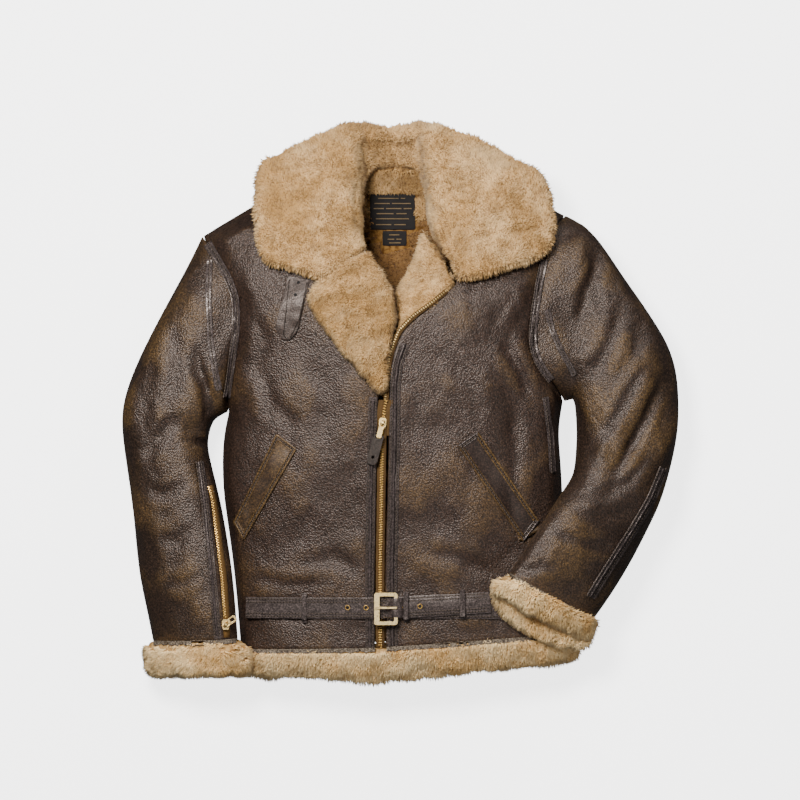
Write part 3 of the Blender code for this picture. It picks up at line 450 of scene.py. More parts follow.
def fold_heights(points, folds):
    """Heights at points of folds: each is a path, a half width and a depth, and has shoulders."""
    total = np.zeros(len(points))
    flat = points[:, :2] / MM
    for path, width, depth in folds:
        path = np.array(path, float)
        best = np.full(len(flat), 1e9)
        place = np.zeros(len(flat))
        lengths = np.linalg.norm(np.diff(path, axis=0), axis=1)
        start = 0.0
        for a, b, length in zip(path, path[1:], lengths):
            along = np.clip(((flat - a) @ (b - a)) / length ** 2, 0, 1)
            gap = np.linalg.norm(flat - (a + along[:, None] * (b - a)), axis=1)
            near = gap < best
            place[near] = (start + along[near] * length) / lengths.sum()
            best = np.minimum(best, gap)
            start += length
        fade = np.clip(np.minimum(place, 1 - place) * 5, 0.12, 1)
        shoulder = 0.42 * np.exp(-(((best - 1.9 * width) / width) ** 2))
        total += depth * fade * (shoulder - np.exp(-(best / width) ** 2))
    return total * MM


def rough(points, scale, seed, stretch=(1, 1, 1)):
    """Smooth noise at points, about -0.6 to 0.6."""
    placed = points * np.array(stretch) / scale + seed * 7.3
    return np.array([noise.noise(Vector(p)) for p in placed])


# Leather panels: each fold is a path, a half width and a depth, in millimetres
FOLDS = [
    ([(152, 8), (157, -60), (152, -120), (150, -176)], 9, 2.4),
    ([(136, 82), (160, 45), (177, 1)], 8, 2.8),
    ([(60, 60), (96, 20), (110, -40)], 10, 1.6),
    ([(-180, 10), (-150, -30), (-148, -90)], 12, 1.8),
    ([(-205, 60), (-180, 20), (-175, -40)], 9, 1.8),
    ([(-130, 60), (-100, 10), (-104, -70)], 12, 1.6),
    ([(-150, -225), (-90, -215), (-50, -235)], 9, 1.6),
    ([(30, -205), (80, -215), (130, -238)], 9, 1.7),
    ([(-200, -240), (-150, -250), (-100, -246)], 7, 1.5),
    ([(150, -236), (190, -225), (215, -228)], 7, 1.6),
    ([(-200, 120), (-185, 85), (-190, 40)], 9, 1.8),
    ([(170, 120), (150, 90), (150, 55)], 9, 1.8),
    ([(-279, -54), (-264, -60), (-258, -66)], 5, 3.0),
    ([(-282, 58), (-268, 20), (-262, -10), (-256, -38)], 6, 3.4),
    ([(-279, 75), (-254, 0), (-253, -20)], 5, 2.2),
    ([(-330, 60), (-345, 10), (-350, -60)], 11, 2.2),
    ([(-300, -20), (-330, -55), (-352, -80)], 9, 2.2),
    ([(-285, -110), (-318, -128), (-345, -125)], 8, 2.0),
    ([(-275, -170), (-300, -190), (-335, -186)], 8, 1.7),
    ([(-270, -235), (-292, -250), (-325, -248)], 7, 1.6),
    ([(-300, 110), (-308, 60), (-305, 0)], 11, 2.0),
    ([(362, 32), (330, -30), (300, -88), (288, -108)], 7, 4.0),
    ([(338, 60), (300, -10), (268, -66)], 8, 2.6),
    ([(272, 190), (252, 150), (243, 100)], 7, 3.6),
    ([(262, 212), (268, 170), (262, 120)], 8, 2.0),
    ([(300, 130), (285, 80), (262, 30)], 9, 2.6),
    ([(330, 100), (318, 60), (290, 20)], 9, 1.8),
    ([(340, -70), (310, -110), (270, -130)], 8, 2.2),
    ([(318, -150), (280, -160), (235, -150)], 8, 2.0),
    ([(290, -200), (250, -195), (205, -178)], 7, 1.8),
]


def panel(name, look, spine, level, wrinkle=1.0):
    """A leather panel: folds and puckers that die out at its seams, and a lined inner face."""
    made = refined(name + "_piece", name, look, level)
    mesh = made.data
    points, normals = points_of(mesh), normals_of(mesh)
    outward = (normals * away(points, spine)).sum(axis=1) > 0
    build = bmesh.new()
    build.from_mesh(mesh)
    rims = [v.co.copy() for v in build.verts if any(
        e.calc_face_angle(0) > 0.8 for e in v.link_edges if len(e.link_faces) == 2)]
    build.free()
    near_rim = KDTree(len(rims))
    for k, point in enumerate(rims):
        near_rim.insert(point, k)
    near_rim.balance()
    gap = np.array([near_rim.find(Vector(p))[2] for p in points])
    # Folds begin 2 mm from a seam and have their whole height 20 mm further in
    free = np.clip((gap - 0.002) / 0.02, 0, 1)
    broad = rough(points, 0.06, 1) * 0.0034
    puckers = rough(points, 0.022, 2, (1, 0.7, 1)) * 0.0013
    small = rough(points, 0.009, 3) * 0.0005
    height = fold_heights(points, FOLDS) * (normals[:, 2] > 0.1)
    height = height + (broad + puckers + small) * wrinkle
    set_points(mesh, points + normals * (height * free * outward)[:, None])
    ridge = np.clip((height * free) / 0.0016, -1, 1)
    seam = np.clip(1 - gap / 0.012, 0, 1)
    painted(mesh, "worn", np.clip(0.35 + 0.55 * ridge + 0.35 * seam, 0, 1))
    # Inner faces take the lining pile, darkened as painted shade.
    mesh.materials.append(LINING_SHADE)
    inner = [0 if any(outward[v] for v in face.vertices) else 1 for face in mesh.polygons]
    mesh.polygons.foreach_set("material_index", inner)
    return ready(made, name)


front_left = panel("front_left", LEATHER, "body", 3)
front_right = panel("front_right", LEATHER, "body", 3)
back = panel("back", SHADED_LEATHER, "body", 2)
left_top = panel("sleeve_left_top", SLEEVE_LEATHER, "left", 3, 1.1)
right_top = panel("sleeve_right_top", SLEEVE_LEATHER, "right", 3, 1.1)
left_under = panel("sleeve_left_under", SHADED_LEATHER, "left", 2, 0.6)
right_under = panel("sleeve_right_under", SHADED_LEATHER, "right", 2, 0.6)

NEW_TOPS = [tree_of(made) for made in (front_left, front_right, left_top, right_top)]
OLD_TOPS = [
    tree_of(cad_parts[node])
    for node in ("front_left", "front_right", "sleeve_left_top", "sleeve_right_top")
]
THROAT_LIFT = 0.0012  # the throat strap stands clear of the folds under it by this


def settle(points):
    """Moves points that lay on the CAD panels to where the folded panels are."""
    points = points.copy()
    for k, (x, y, z) in enumerate(points):
        old, new = top_of(OLD_TOPS, x, y), top_of(NEW_TOPS, x, y)
        if old is not None and new is not None:
            points[k, 2] = z + new - old
    return points


def strap(name, look=STRAP_LEATHER, level=2, settled=True, bevel=0.0005):
    """A narrow piece that lies on the panels."""
    made = refined(name + "_piece", name, look, level, bevel=bevel)
    points = points_of(made.data)
    if settled:
        points = settle(points)
    if name == "throat_strap":
        points[:, 2] += THROAT_LIFT
    normals = normals_of(made.data)
    height = rough(points, 0.012, 5) * 0.0004
    set_points(made.data, points + normals * height[:, None])
    painted(made.data, "worn", np.clip(0.4 + rough(points, 0.02, 6), 0, 1))
    return ready(made, name)


OWN_LOOKS = {
    "pocket_left": WELT_LEATHER, "pocket_right": THROAT_LEATHER, "throat_strap": THROAT_LEATHER}
LAID = {name: strap(name, OWN_LOOKS.get(name, STRAP_LEATHER)) for name in (
    "placket_left", "placket_right", "armhole_strip_left", "armhole_strip_right",
    "sleeve_seam_left", "sleeve_seam_right", "side_strip_right", "sleeve_strip_left",
    "sleeve_strip_right", "pocket_left", "pocket_right", "throat_strap")}
LAID |= {name: strap(name, settled=False) for name in (
    "belt_right", "belt_left", "belt_loop_left", "belt_loop_middle", "belt_loop_right")}
LAID |= {name: strap(name, look, 1, settled, 0.0) for name, look, settled in (
    ("zip_tape", TAPE, False), ("zip_open", TAPE, True), ("sleeve_zip_left", GOLD_TAPE, True))}


# Fleece: each crease is a path, a half width and a depth, in millimetres
CREASES = [
    ([(-172, 330), (-170, 320), (-164, 290), (-157, 250)], 2.6, 3.6),
    ([(172, 322), (171, 300), (169, 270), (172, 255)], 2.6, 3.0),
    ([(57, 245), (60, 230), (69, 202), (82, 180)], 2.6, 3.6),
    ([(84, 209), (130, 221), (190, 233)], 5, 2.2),
    ([(-118, 210), (-100, 204), (-78, 212)], 3, 2.6),
    ([(-60, 300), (-64, 262), (-58, 225)], 4, 2.2),
]


def fleece(name, level, clump, size=0.02):
    """A piece of fleece with a lumpy face and the creases of its seams."""
    made = refined(name + "_piece", name, PILE, level, sharp=60)
    mesh = made.data
    points, normals = points_of(mesh), normals_of(mesh)
    height = rough(points, size, 11) * clump + rough(points, 0.4 * size, 12) * clump * 0.6
    height += fold_heights(points, CREASES) * (normals[:, 2] > 0.3)
    set_points(mesh, points + normals * height[:, None])
    return ready(made, name)


collar = fleece("collar", 3, 0.003)
lapel = fleece("lapel_left", 3, 0.0036)
flap = fleece("flap_right", 3, 0.0026)
hems = [fleece(name, 3, 0.0042, size=0.024) for name in ("hem_left", "hem_right", "hem_back")]
cuffs = [fleece(name, 2, 0.0045, size=0.024) for name in ("cuff_left", "cuff_right")]


THIRD_TURN = 2.0944


def tuft_shape(bend, rings):
    """A bent three-sided taper, one long, with how near its tip each point is."""
    points = [
        (r * math.cos(THIRD_TURN * k) + bend * z * z, r * math.sin(THIRD_TURN * k), z)
        for z, r in rings for k in range(3)
    ]
    points.append((0.8 * bend, 0.0, 0.95))
    last = 3 * len(rings) - 3
    faces = [(k, (k + 1) % 3, 3 + (k + 1) % 3, 3 + k) for k in range(last)]
    faces += [(last + k, last + (k + 1) % 3, last + 3) for k in range(3)]
    mesh = mesh_of("curl", points, faces)
    smoothed(mesh)
    painted(mesh, "tip", [z for z, radius in rings for k in range(3)] + [1])
    return new_object("curl", mesh, PILE)


def tree_with(name, kinds):
    """The graph of a new geometry tree, and its named inputs."""
    tree = bpy.data.node_groups.new(name, "GeometryNodeTree")
    tree.interface.new_socket("Geometry", in_out="OUTPUT", socket_type="NodeSocketGeometry")
    for key, kind in kinds.items():
        tree.interface.new_socket(key, in_out="INPUT", socket_type="NodeSocket" + kind)
    graph = Graph(tree)
    given = tree.nodes.new("NodeGroupInput")
    return graph, {key: Value(graph, given.outputs[key]) for key in kinds}


def ended(graph, shape, finish):
    """A graph's tree, which gives out a shape in its material."""
    last = graph.add("GeometryNodeSetMaterial", {}, {"Geometry": shape, "Material": finish})
    out = graph.tree.nodes.new("NodeGroupOutput")
    graph.tree.links.new(last.socket, out.inputs[0])
    return graph.tree


def curl_tree():
    """Curls scattered over a surface, leaning the way that it is combed."""
    graph, given = tree_with("curls", {
        "Surface": "Geometry", "Curl": "Object", "Density": "Float", "Length": "Float",
        "Width": "Float", "Ruffle": "Float", "Seed": "Int", "Finish": "Material",
    })

    def drawn(low, high, seed):
        values = {2: low, 3: high, "Seed": seed}
        return graph.add("FunctionNodeRandomValue", {"data_type": "FLOAT"}, values, 1)

    def vectors(operation, values):
        return graph.add("ShaderNodeVectorMath", {"operation": operation}, values)

    values = {"Mesh": given["Surface"], "Density": given["Density"], "Seed": given["Seed"]}
    points = graph.add(
        "GeometryNodeDistributePointsOnFaces", {"distribute_method": "RANDOM"}, values)
    normal = Value(graph, points.socket.node.outputs["Normal"])
    comb = graph.add(
        "GeometryNodeInputNamedAttribute", {"data_type": "FLOAT_VECTOR"}, {"Name": "comb"})
    stray = graph.add(
        "FunctionNodeRandomValue", {"data_type": "FLOAT_VECTOR"},
        {0: (-1, -1, -1), 1: (1, 1, 1), "Seed": given["Seed"]})
    ruffled = vectors("SCALE", {0: stray, "Scale": given["Ruffle"]})
    lean = vectors("ADD", {0: vectors("ADD", {0: normal, 1: comb}), 1: ruffled})
    turned = graph.add("FunctionNodeAlignRotationToVector", {"axis": "Z"}, {"Vector": lean})
    about = graph.add("ShaderNodeCombineXYZ", {}, {2: drawn(0.0, 6.283, 3)})
    about = graph.add("FunctionNodeEulerToRotation", {}, {0: about})
    turned = graph.add(
        "FunctionNodeRotateRotation", {"rotation_space": "LOCAL"}, {0: turned, 1: about})
    size = drawn(0.65, 1.25, 5)
    wide, long = given["Width"] * size, given["Length"] * size
    scale = graph.add("ShaderNodeCombineXYZ", {}, {0: wide, 1: wide, 2: long})
    curl = graph.add("GeometryNodeObjectInfo", {}, {"Object": given["Curl"]}, "Geometry")
    placed = graph.add(
        "GeometryNodeInstanceOnPoints", {},
        {"Points": points, "Instance": curl, "Rotation": turned, "Scale": scale})
    stored = graph.add(
        "GeometryNodeStoreNamedAttribute", {"data_type": "FLOAT", "domain": "INSTANCE"},
        {"Geometry": placed, "Name": "own", "Value": drawn(0.0, 1.0, 9)})
    solid = graph.add("GeometryNodeRealizeInstances", {}, {0: stored})
    return ended(graph, solid, given["Finish"])


def grown(name, surface, tree, look, **sizes):
    """What a node tree makes on a surface, as a plain mesh."""
    growth = surface.modifiers.new(name, "NODES")
    growth.node_group = tree
    sizes["Finish"] = look
    for item in tree.interface.items_tree:
        if item.in_out == "INPUT" and item.name in sizes:
            growth[item.identifier] = sizes[item.name]
    result = new_object(name, evaluated(surface), look)
    surface.modifiers.remove(growth)
    return result


CURLS = curl_tree()
CURL = tuft_shape(0.5, [(0, 0.5)])
LOCK = tuft_shape(0.6, [(0, 0.5), (0.55, 0.34)])


def scattered(name, made, node, keep, comb, look, shape, **sizes):
    """Curls on the faces of a piece that a test keeps."""
    build = bmesh.new()
    build.from_mesh(made.data)
    gone = [f for f in build.faces if not keep(f.calc_center_median(), f.normal)]
    bmesh.ops.delete(build, geom=gone, context="FACES")
    mesh = bpy.data.meshes.new(name + "_bed")
    build.to_mesh(mesh)
    build.free()
    layer = mesh.attributes.new("comb", "FLOAT_VECTOR", "POINT")
    ways = [comb(Vector(p)) for p in points_of(mesh)]
    layer.data.foreach_set("vector", np.asarray(ways, np.float32).ravel())
    bed = new_object(name + "_bed", mesh, look)
    result = grown(name, bed, CURLS, look, Curl=shape, **sizes)
    set_points(result.data, points_of(result.data))  # keeps the curls over the floor
    bpy.data.objects.remove(bed)
    return ready(result, node, stands=False)


def combed(x, y, z, strength=0.5, scale=0.018):
    """A lean of curls that wavers by a strength, in waves of a scale."""
    def comb(point):
        a = noise.noise(point / scale + Vector((3, 1, 7)))
        b = noise.noise(point / scale + Vector((9, 5, 2)))
        return (x + strength * a, y + strength * b, z)

    return comb


# The neck's fleece that shows, the labels on it, and where the lining's deeper painted shade begins
NECK_HALF, NECK_TOP = 0.07, 0.09
LABELS_LEFT, LABELS_RIGHT, LABELS_LOW, LABELS_HIGH = -0.044, 0.024, 0.208, 0.285
LINING_LOW, LINING_HIGH, NECK_HIGH = 0.06, 0.25, 0.4
CUFF_MIDDLE = Vector((-0.278, -0.345, 0.057))
SWIRL = combed(0.0, 0.0, 0.0, 0.9, 0.035)
NECK_COMB = combed(0.0, -0.4, 0.0, 0.8)


def in_neck(centre, normal, low, high):
    """The fleece inside the neck between two heights, clear of the labels."""
    on_labels = (LABELS_LEFT < centre.x < LABELS_RIGHT
                 and LABELS_LOW < centre.y < LABELS_HIGH)
    return (normal.z > 0.2 and low < centre.y <= high and abs(centre.x) < NECK_HALF
            and centre.z < NECK_TOP and not on_labels)


def under_edge(c, n):
    """The hem's fleece below the edge of the fronts, which slopes up to the right."""
    edge = -0.339 if c.x < -0.026 else -0.336 + (c.x + 0.018) * 0.0742
    return (n.z > -0.2 or n.y < -0.5) and c.y < edge - 0.0035


def on_top(centre):
    """The part of the collar that stands behind the neck."""
    return abs(centre.x + 0.007) < 0.047 and centre.y > 0.3


def at_rim(c, n):
    """The collar's outer edge, where longer locks hang."""
    return n.z < 0.5 and ((c.y < 0.24 and abs(c.x) > 0.075) or abs(c.x) > 0.165)


# A piece's name, its bed, node, faces, comb, wool and shape, and the inputs of the node tree
for name, made, node, keep, comb, look, shape, density, length, width, ruffle, seed in (
    ("collar_curls", collar, "collar", lambda c, n: n.z > -0.35 and not on_top(c),
     SWIRL, COLLAR_WOOL, CURL, 7.3e5, 0.0058, 0.0025, 0.45, 1),
    # The collar's top and the neck's fleece take darker wools as painted shade.
    ("collar_top_curls", collar, "collar", lambda c, n: n.z > -0.35 and on_top(c),
     SWIRL, NECK_SHADE_WOOL, CURL, 7.3e5, 0.0058, 0.0025, 0.45, 1),
    ("collar_fringe", collar, "collar", at_rim,
     combed(0.0, -0.5, 0.3, 0.3), COLLAR_WOOL, LOCK, 3.1e5, 0.0095, 0.0027, 0.35, 11),
    ("lapel_curls", lapel, "lapel_left", lambda c, n: n.z > -0.2,
     combed(-0.2, -0.5, 0.0, 0.7), COLLAR_WOOL, CURL, 1.15e6, 0.0075, 0.0024, 0.4, 2),
    ("flap_curls", flap, "flap_right", lambda c, n: n.z > 0.1,
     combed(0.1, -0.5, 0.0, 0.7), COLLAR_WOOL, CURL, 1.1e6, 0.0065, 0.0024, 0.4, 3),
    ("neck_curls", back, "back", lambda c, n: in_neck(c, n, LINING_HIGH, NECK_HIGH),
     NECK_COMB, NECK_SHADE_WOOL, CURL, 9.5e5, 0.007, 0.0028, 0.45, 4),
    ("lining_curls", back, "back", lambda c, n: in_neck(c, n, LINING_LOW, LINING_HIGH),
     NECK_COMB, INNER_SHADE_WOOL, CURL, 9.5e5, 0.007, 0.0028, 0.45, 4),
    ("hem_left_fur", hems[0], "hem_left", under_edge,
     combed(0.0, -0.7, 0.25), EDGE_FUR, CURL, 8e5, 0.0095, 0.0027, 0.4, 5),
    ("hem_right_fur", hems[1], "hem_right", under_edge,
     combed(0.0, -0.7, 0.25), EDGE_FUR, CURL, 8e5, 0.0095, 0.0027, 0.4, 6),
    ("hem_back_fur", hems[2], "hem_back", lambda c, n: n.y < -0.45,
     combed(0.0, -0.7, 0.3), EDGE_FUR, CURL, 8e5, 0.0095, 0.0027, 0.4, 7),
    ("cuff_left_fur", cuffs[0], "cuff_left",
     lambda c, n: n.y < 0.3 and (c - CUFF_MIDDLE).dot(n) > -0.01,
     combed(0.05, -0.5, 0.15), EDGE_FUR, CURL, 9e5, 0.0095, 0.0027, 0.4, 8),
    ("cuff_right_fur", cuffs[1], "cuff_right", lambda c, n: n.y < 0.6,
     combed(-0.3, -0.45, 0.15), EDGE_FUR, CURL, 8e5, 0.009, 0.0027, 0.4, 9),
):
    scattered(name, made, node, keep, comb, look, shape,
              Density=density, Length=length, Width=width, Ruffle=ruffle, Seed=seed)
for shape in (CURL, LOCK):
    bpy.data.objects.remove(shape)

# Rows of stitches and zip teeth


def row_tree():
    """Beads along a line at an even step, each turned the way that the line runs."""
    graph, given = tree_with(
        "row", {"Line": "Geometry", "Bead": "Object", "Step": "Float", "Finish": "Material"})
    curve = graph.add("GeometryNodeMeshToCurve", {}, {"Mesh": given["Line"]})
    even = graph.add(
        "GeometryNodeResampleCurve", {"mode": "LENGTH"}, {"Curve": curve, "Length": given["Step"]})
    heading = graph.add("GeometryNodeInputTangent")
    turned = graph.add("FunctionNodeAlignRotationToVector", {"axis": "X"}, {"Vector": heading})
    upright = graph.add(
        "FunctionNodeAlignRotationToVector", {"axis": "Z", "pivot_axis": "X"},
        {"Rotation": turned, "Vector": (0, 0, 1)})
    bead = graph.add("GeometryNodeObjectInfo", {}, {"Object": given["Bead"]}, "Geometry")
    placed = graph.add(
        "GeometryNodeInstanceOnPoints", {}, {"Points": even, "Instance": bead, "Rotation": upright})
    solid = graph.add("GeometryNodeRealizeInstances", {}, {0: placed})
    return ended(graph, solid, given["Finish"])


def band_tree():
    """A band along a line, of one closed profile that stays upright."""
    graph, given = tree_with(
        "band", {"Line": "Geometry", "Profile": "Object", "Finish": "Material"})
    curve = graph.add("GeometryNodeMeshToCurve", {}, {"Mesh": given["Line"]})
    curve = graph.add("GeometryNodeSetCurveNormal", {"mode": "Z_UP"}, {"Curve": curve})
    shape = graph.add("GeometryNodeObjectInfo", {}, {"Object": given["Profile"]}, "Geometry")
    shape = graph.add("GeometryNodeMeshToCurve", {}, {"Mesh": shape})
    values = {"Curve": curve, "Profile Curve": shape, "Fill Caps": True}
    return ended(graph, graph.add("GeometryNodeCurveToMesh", {}, values), given["Finish"])


BAND = band_tree()
ROW = row_tree()


def bead(name, long, wide, tall, taper):
    """A small bead: a box that narrows to its ends and to its top."""
    points = []
    for x in (-0.5, -0.3, 0.3, 0.5):
        end = taper if abs(x) > 0.4 else 1.0
        for y, z in ((-0.5, 0), (0.5, 0), (0.32, 1), (-0.32, 1)):
            points.append((x * long, y * wide * end, z * tall * end))
    faces = [(0, 1, 2, 3), (15, 14, 13, 12)]
    for ring in range(3):
        for k in range(4):
            a, b = 4 * ring + k, 4 * ring + (k + 1) % 4
            faces.append((a, a + 4, b + 4, b))
    mesh = mesh_of(name, points, faces)
    turned_out(mesh)
    return new_object(name, mesh, THREAD)


STITCH = bead("stitch", 0.0030, 0.0013, 0.0008, 0.5)
TOOTH = bead("tooth", 0.0016, 0.0030, 0.0016, 0.9)
SMALL_TOOTH = bead("small_tooth", 0.0016, 0.0022, 0.0012, 0.9)


def offset_path(path, offset, step=5.0):
    """Points along a path of straight pieces, moved to its right by an offset."""
    path = np.array(path, float)
    length = np.concatenate([[0], np.cumsum(np.linalg.norm(np.diff(path, axis=0), axis=1))])
    places = np.linspace(0, length[-1], max(2, int(length[-1] / step)))
    points = np.stack([np.interp(places, length, path[:, k]) for k in (0, 1)], axis=1)
    ahead = np.gradient(points, axis=0)
    ahead /= np.linalg.norm(ahead, axis=1, keepdims=True)
    return points + offset * np.stack([ahead[:, 1], -ahead[:, 0]], axis=1)


def laid_line(name, lines, under, lift):
    """Lines of points laid on the pieces under them."""
    trees = [tree_of(made) for made in under]
    points, edges = [], []
    for line in lines:
        begin = len(points)
        for x, y in np.asarray(line) * MM:
            z = top_of(trees, x, y)
            if z is not None:
                points.append((x, y, z + lift))
        edges += [(k, k + 1) for k in range(begin, len(points) - 1)]
    return new_object(name + "_line", mesh_of(name + "_line", points, [], edges), THREAD)


def row(name, node, lines, shape, step, look, lift=0.0001, under=None):
    """Beads along lines laid on the node's own piece, or on others that are given."""
    line = laid_line(name, lines, under or [LAID[node]], lift)
    result = grown(name, line, ROW, look, Bead=shape, Step=step)
    bpy.data.objects.remove(line)
    return ready(result, node, stands=False)


def band(name, node, lines, wide, tall, look, worn=0.5, under=None):
    """Bands along lines, laid as rows are: a low ridge of a width and a height."""
    sides = [(-0.5 * wide, -0.3 * tall), (0.5 * wide, -0.3 * tall), (0.32 * wide, 0.6 * tall),
             (0, tall), (-0.32 * wide, 0.6 * tall)]
    ring = [(k, (k + 1) % 5) for k in range(5)]
    profile = mesh_of("profile", [(x * MM, y * MM, 0) for x, y in sides], [], ring)
    shape = new_object("profile", profile, look)
    line = laid_line(name, lines, under or [LAID[node]], 0.0)
    result = grown(name, line, BAND, look, Profile=shape)
    bpy.data.objects.remove(line)
    bpy.data.objects.remove(shape)
    turned_out(result.data)
    evenly_worn(result, worn)
    return ready(result, node, stands=False)


def stitched(node, lines):
    """Stitches along lines on a piece, each line on a dark band of painted groove shade."""
    # A dark band as painted shade where the stitches sink into the leather.
    band(node + "_grooves", node, lines, 1.9, 0.25, DARK_LEATHER_AND_GROOVE_SHADE, 0)
    row(node + "_stitches", node, lines, STITCH, 0.0042, THREAD, 0.0002)


PLACKET_LEFT = [(-40.7, -335), (-41, -240), (-39.5, -135), (-37.5, -45), (-36, 4)]
PLACKET_RIGHT = [(-10.2, -333), (-11, -240), (-9, -135), (-7, -45), (-6.5, 20), (-3, 50), (6, 76)]
ARMHOLE_LEFT = [(-260, 212), (-249, 193), (-233, 166), (-223, 141), (-221, 116), (-222, 89),
                (-227, 58), (-233, 15), (-235, 4)]
ARMHOLE_RIGHT = [(195, 190), (188, 158), (182, 120), (178, 84), (183, 58), (194, 39), (204, 27)]
SLEEVE_STRIP_LEFT = [
    (-273, -84), (-266, -130), (-260, -187), (-253, -254), (-248, -312), (-247, -324)]
SLEEVE_STRIP_RIGHT = [(357, -92), (340, -133), (316, -174), (292, -210), (272, -241), (257, -266)]
STRAP_RIM = [(-149, 163), (-157, 88), (-153, 83.5)], [(-125, 159), (-136, 108), (-148, 84)]
SEAM_LEFT = [(-258, 190), (-260, 142), (-257, 80), (-250, 35), (-246, 14)]
SEAM_RIGHT = [(199, 123), (205, 96), (216, 70), (229, 48), (236, 34)]
SIDE_STRIP = [(196, 4), (198, -10), (203, -50), (206, -98)]
BELT_LINE = [(-208, -281.5), (-20, -281.5), (0, -280.5), (54, -277.5), (109, -274.5), (116, -274)]
BELT_REST = [(58, -281.5), (150, -282.5), (212, -284.5)]
ZIP_LINE = [(-26.7, -336), (-27, -240), (-25.4, -135), (-24.2, -45), (-23.8, -36)]
ZIP_OPEN = [(-19, -4), (-18, 20), (-16, 45), (-10, 70), (-1, 93), (17, 112), (42, 130), (62, 146)]
SLEEVE_ZIP = [(-258.5, -118), (-254, -132), (-247, -187), (-240, -241), (-236.4, -293)]


def frame_lines(corners, inset):
    """The four sides of a patch, drawn in from its edge."""
    corners = np.array(corners, float)
    shrunk = []
    for k in range(4):
        a, b, c = corners[k - 1], corners[k], corners[(k + 1) % 4]
        toward = (a - b) / np.linalg.norm(a - b) + (c - b) / np.linalg.norm(c - b)
        shrunk.append(b + toward * inset)
    return [offset_path([shrunk[k], shrunk[(k + 1) % 4]], 0) for k in range(4)]


POCKET_LEFT = [(-167, -46), (-140, -66), (-212, -190), (-225, -165)]
POCKET_RIGHT = [(78, -62), (105, -43), (188, -164), (167, -192)]
for node, path, sides, wide in (
    ("placket_left", PLACKET_LEFT, (-3.9, 3.9), 4.6),
    ("placket_right", PLACKET_RIGHT, (-4.8, 4.8), 6),
    ("armhole_strip_left", ARMHOLE_LEFT, (-1.2, 4.2), 3.2),
    ("armhole_strip_right", ARMHOLE_RIGHT, (-1.2, 4.2), 3.2),
    ("sleeve_seam_left", SEAM_LEFT, (0,), 0), ("sleeve_seam_right", SEAM_RIGHT, (0,), 0),
    ("side_strip_right", SIDE_STRIP, (0,), 0),
    ("sleeve_strip_left", SLEEVE_STRIP_LEFT, (-3.2, 3.2), 3.6),
    ("sleeve_strip_right", SLEEVE_STRIP_RIGHT, (-4.2, 4.2), 5),
    ("belt_left", BELT_LINE, (-11.6, -7.6, 7.6, 11.6), 0),
    ("belt_right", BELT_REST, (-11.4, 11.4), 0),
):
    stitched(node, [offset_path(path, side) for side in sides])
    if wide:
        middle = offset_path(path, (sides[0] + sides[-1]) / 2)
        band(node + "_ridge", node, [middle], wide, 0.9, STRAP_LEATHER)
for node, corners, looks in (
    ("pocket_left", POCKET_LEFT, [PIPING] * 4),
    ("pocket_right", POCKET_RIGHT, [STRAP_LEATHER, PIPING, STRAP_LEATHER, WELT_LEATHER]),
):
    stitched(node, frame_lines(corners, 3.4))
    for k, look in enumerate(looks):
        band(f"{node}_piping_{k}", node, [frame_lines(corners, 0.9)[k]], 2.8, 1.5, look)
        band(f"{node}_ridge_{k}", node, [frame_lines(corners, 5.5)[k]], 1.8, 0.9, look)
# A dark band of painted shade along the throat strap's edges.
band("throat_strap_rim", "throat_strap", [offset_path(path, 0) for path in STRAP_RIM],
     1.6, 0.3, DARK_LEATHER_AND_GROOVE_SHADE, 0)
band("pocket_right_tab", "pocket_right", [[(161, -189), (175, -181), (189, -174)]],
     7, 2.2, WELT_LEATHER, under=[LAID["pocket_right"], front_right])


def bridge(name, spots, half, look, node):
    """A strip of tape between two places that CAD pieces leave bare."""
    points = [(x + side, y, z) for x, y, z in spots for side in (-half, half)]
    faces = [(2 * k, 2 * k + 1, 2 * k + 3, 2 * k + 2) for k in range(len(spots) - 1)]
    made = new_object(name, mesh_of(name, points, faces), look)
    thickened(made, 0.0008)
    return ready(made, node, stands=False)


low = top_of([tree_of(LAID["zip_tape"])], -0.024, -0.06)
high = top_of([tree_of(LAID["zip_open"])], -0.0188, -0.001)
ZIP_GAP = [(-23.7, -48), (-23.4, -31), (-21.5, -16), (-19, 0)]
gap_tape = bridge(
    "zip_gap_tape",
    [(x * MM, y * MM, low + (high - low) * k / 3 - 0.0002) for k, (x, y) in enumerate(ZIP_GAP)],
    0.0095, TAPE, "zip_tape")
TEETH_STEP = 0.0034
for side, half in ((-1.0, "left"), (1.0, "right")):
    line = offset_path(ZIP_LINE, side)
    line[:, 1] += 0.8 * side
    row("front_teeth_" + half, "zip_tape", [line], TOOTH, TEETH_STEP, DULL_BRASS)
    line = offset_path(ZIP_GAP, side, 2.0)
    line[:, 1] += 0.8 * side
    row("gap_teeth_" + half, "zip_tape", [line], TOOTH, TEETH_STEP, DULL_BRASS, under=[gap_tape])
    line = offset_path(SLEEVE_ZIP, side * 0.9 + 1)
    line[:, 1] += 0.9 * side
    row("sleeve_teeth_" + half, "sleeve_zip_left", [line], SMALL_TOOTH, 0.0036, DULL_BRASS)
row("open_teeth", "zip_open", [offset_path(ZIP_OPEN, -0.9)], TOOTH, TEETH_STEP, BRASS, 0.0006)
for shape in (STITCH, TOOTH, SMALL_TOOTH):
    bpy.data.objects.remove(shape)


# Eyelets, holes, ragged skin edges and the labels' bars

AROUND = 20  # points round a turned ring


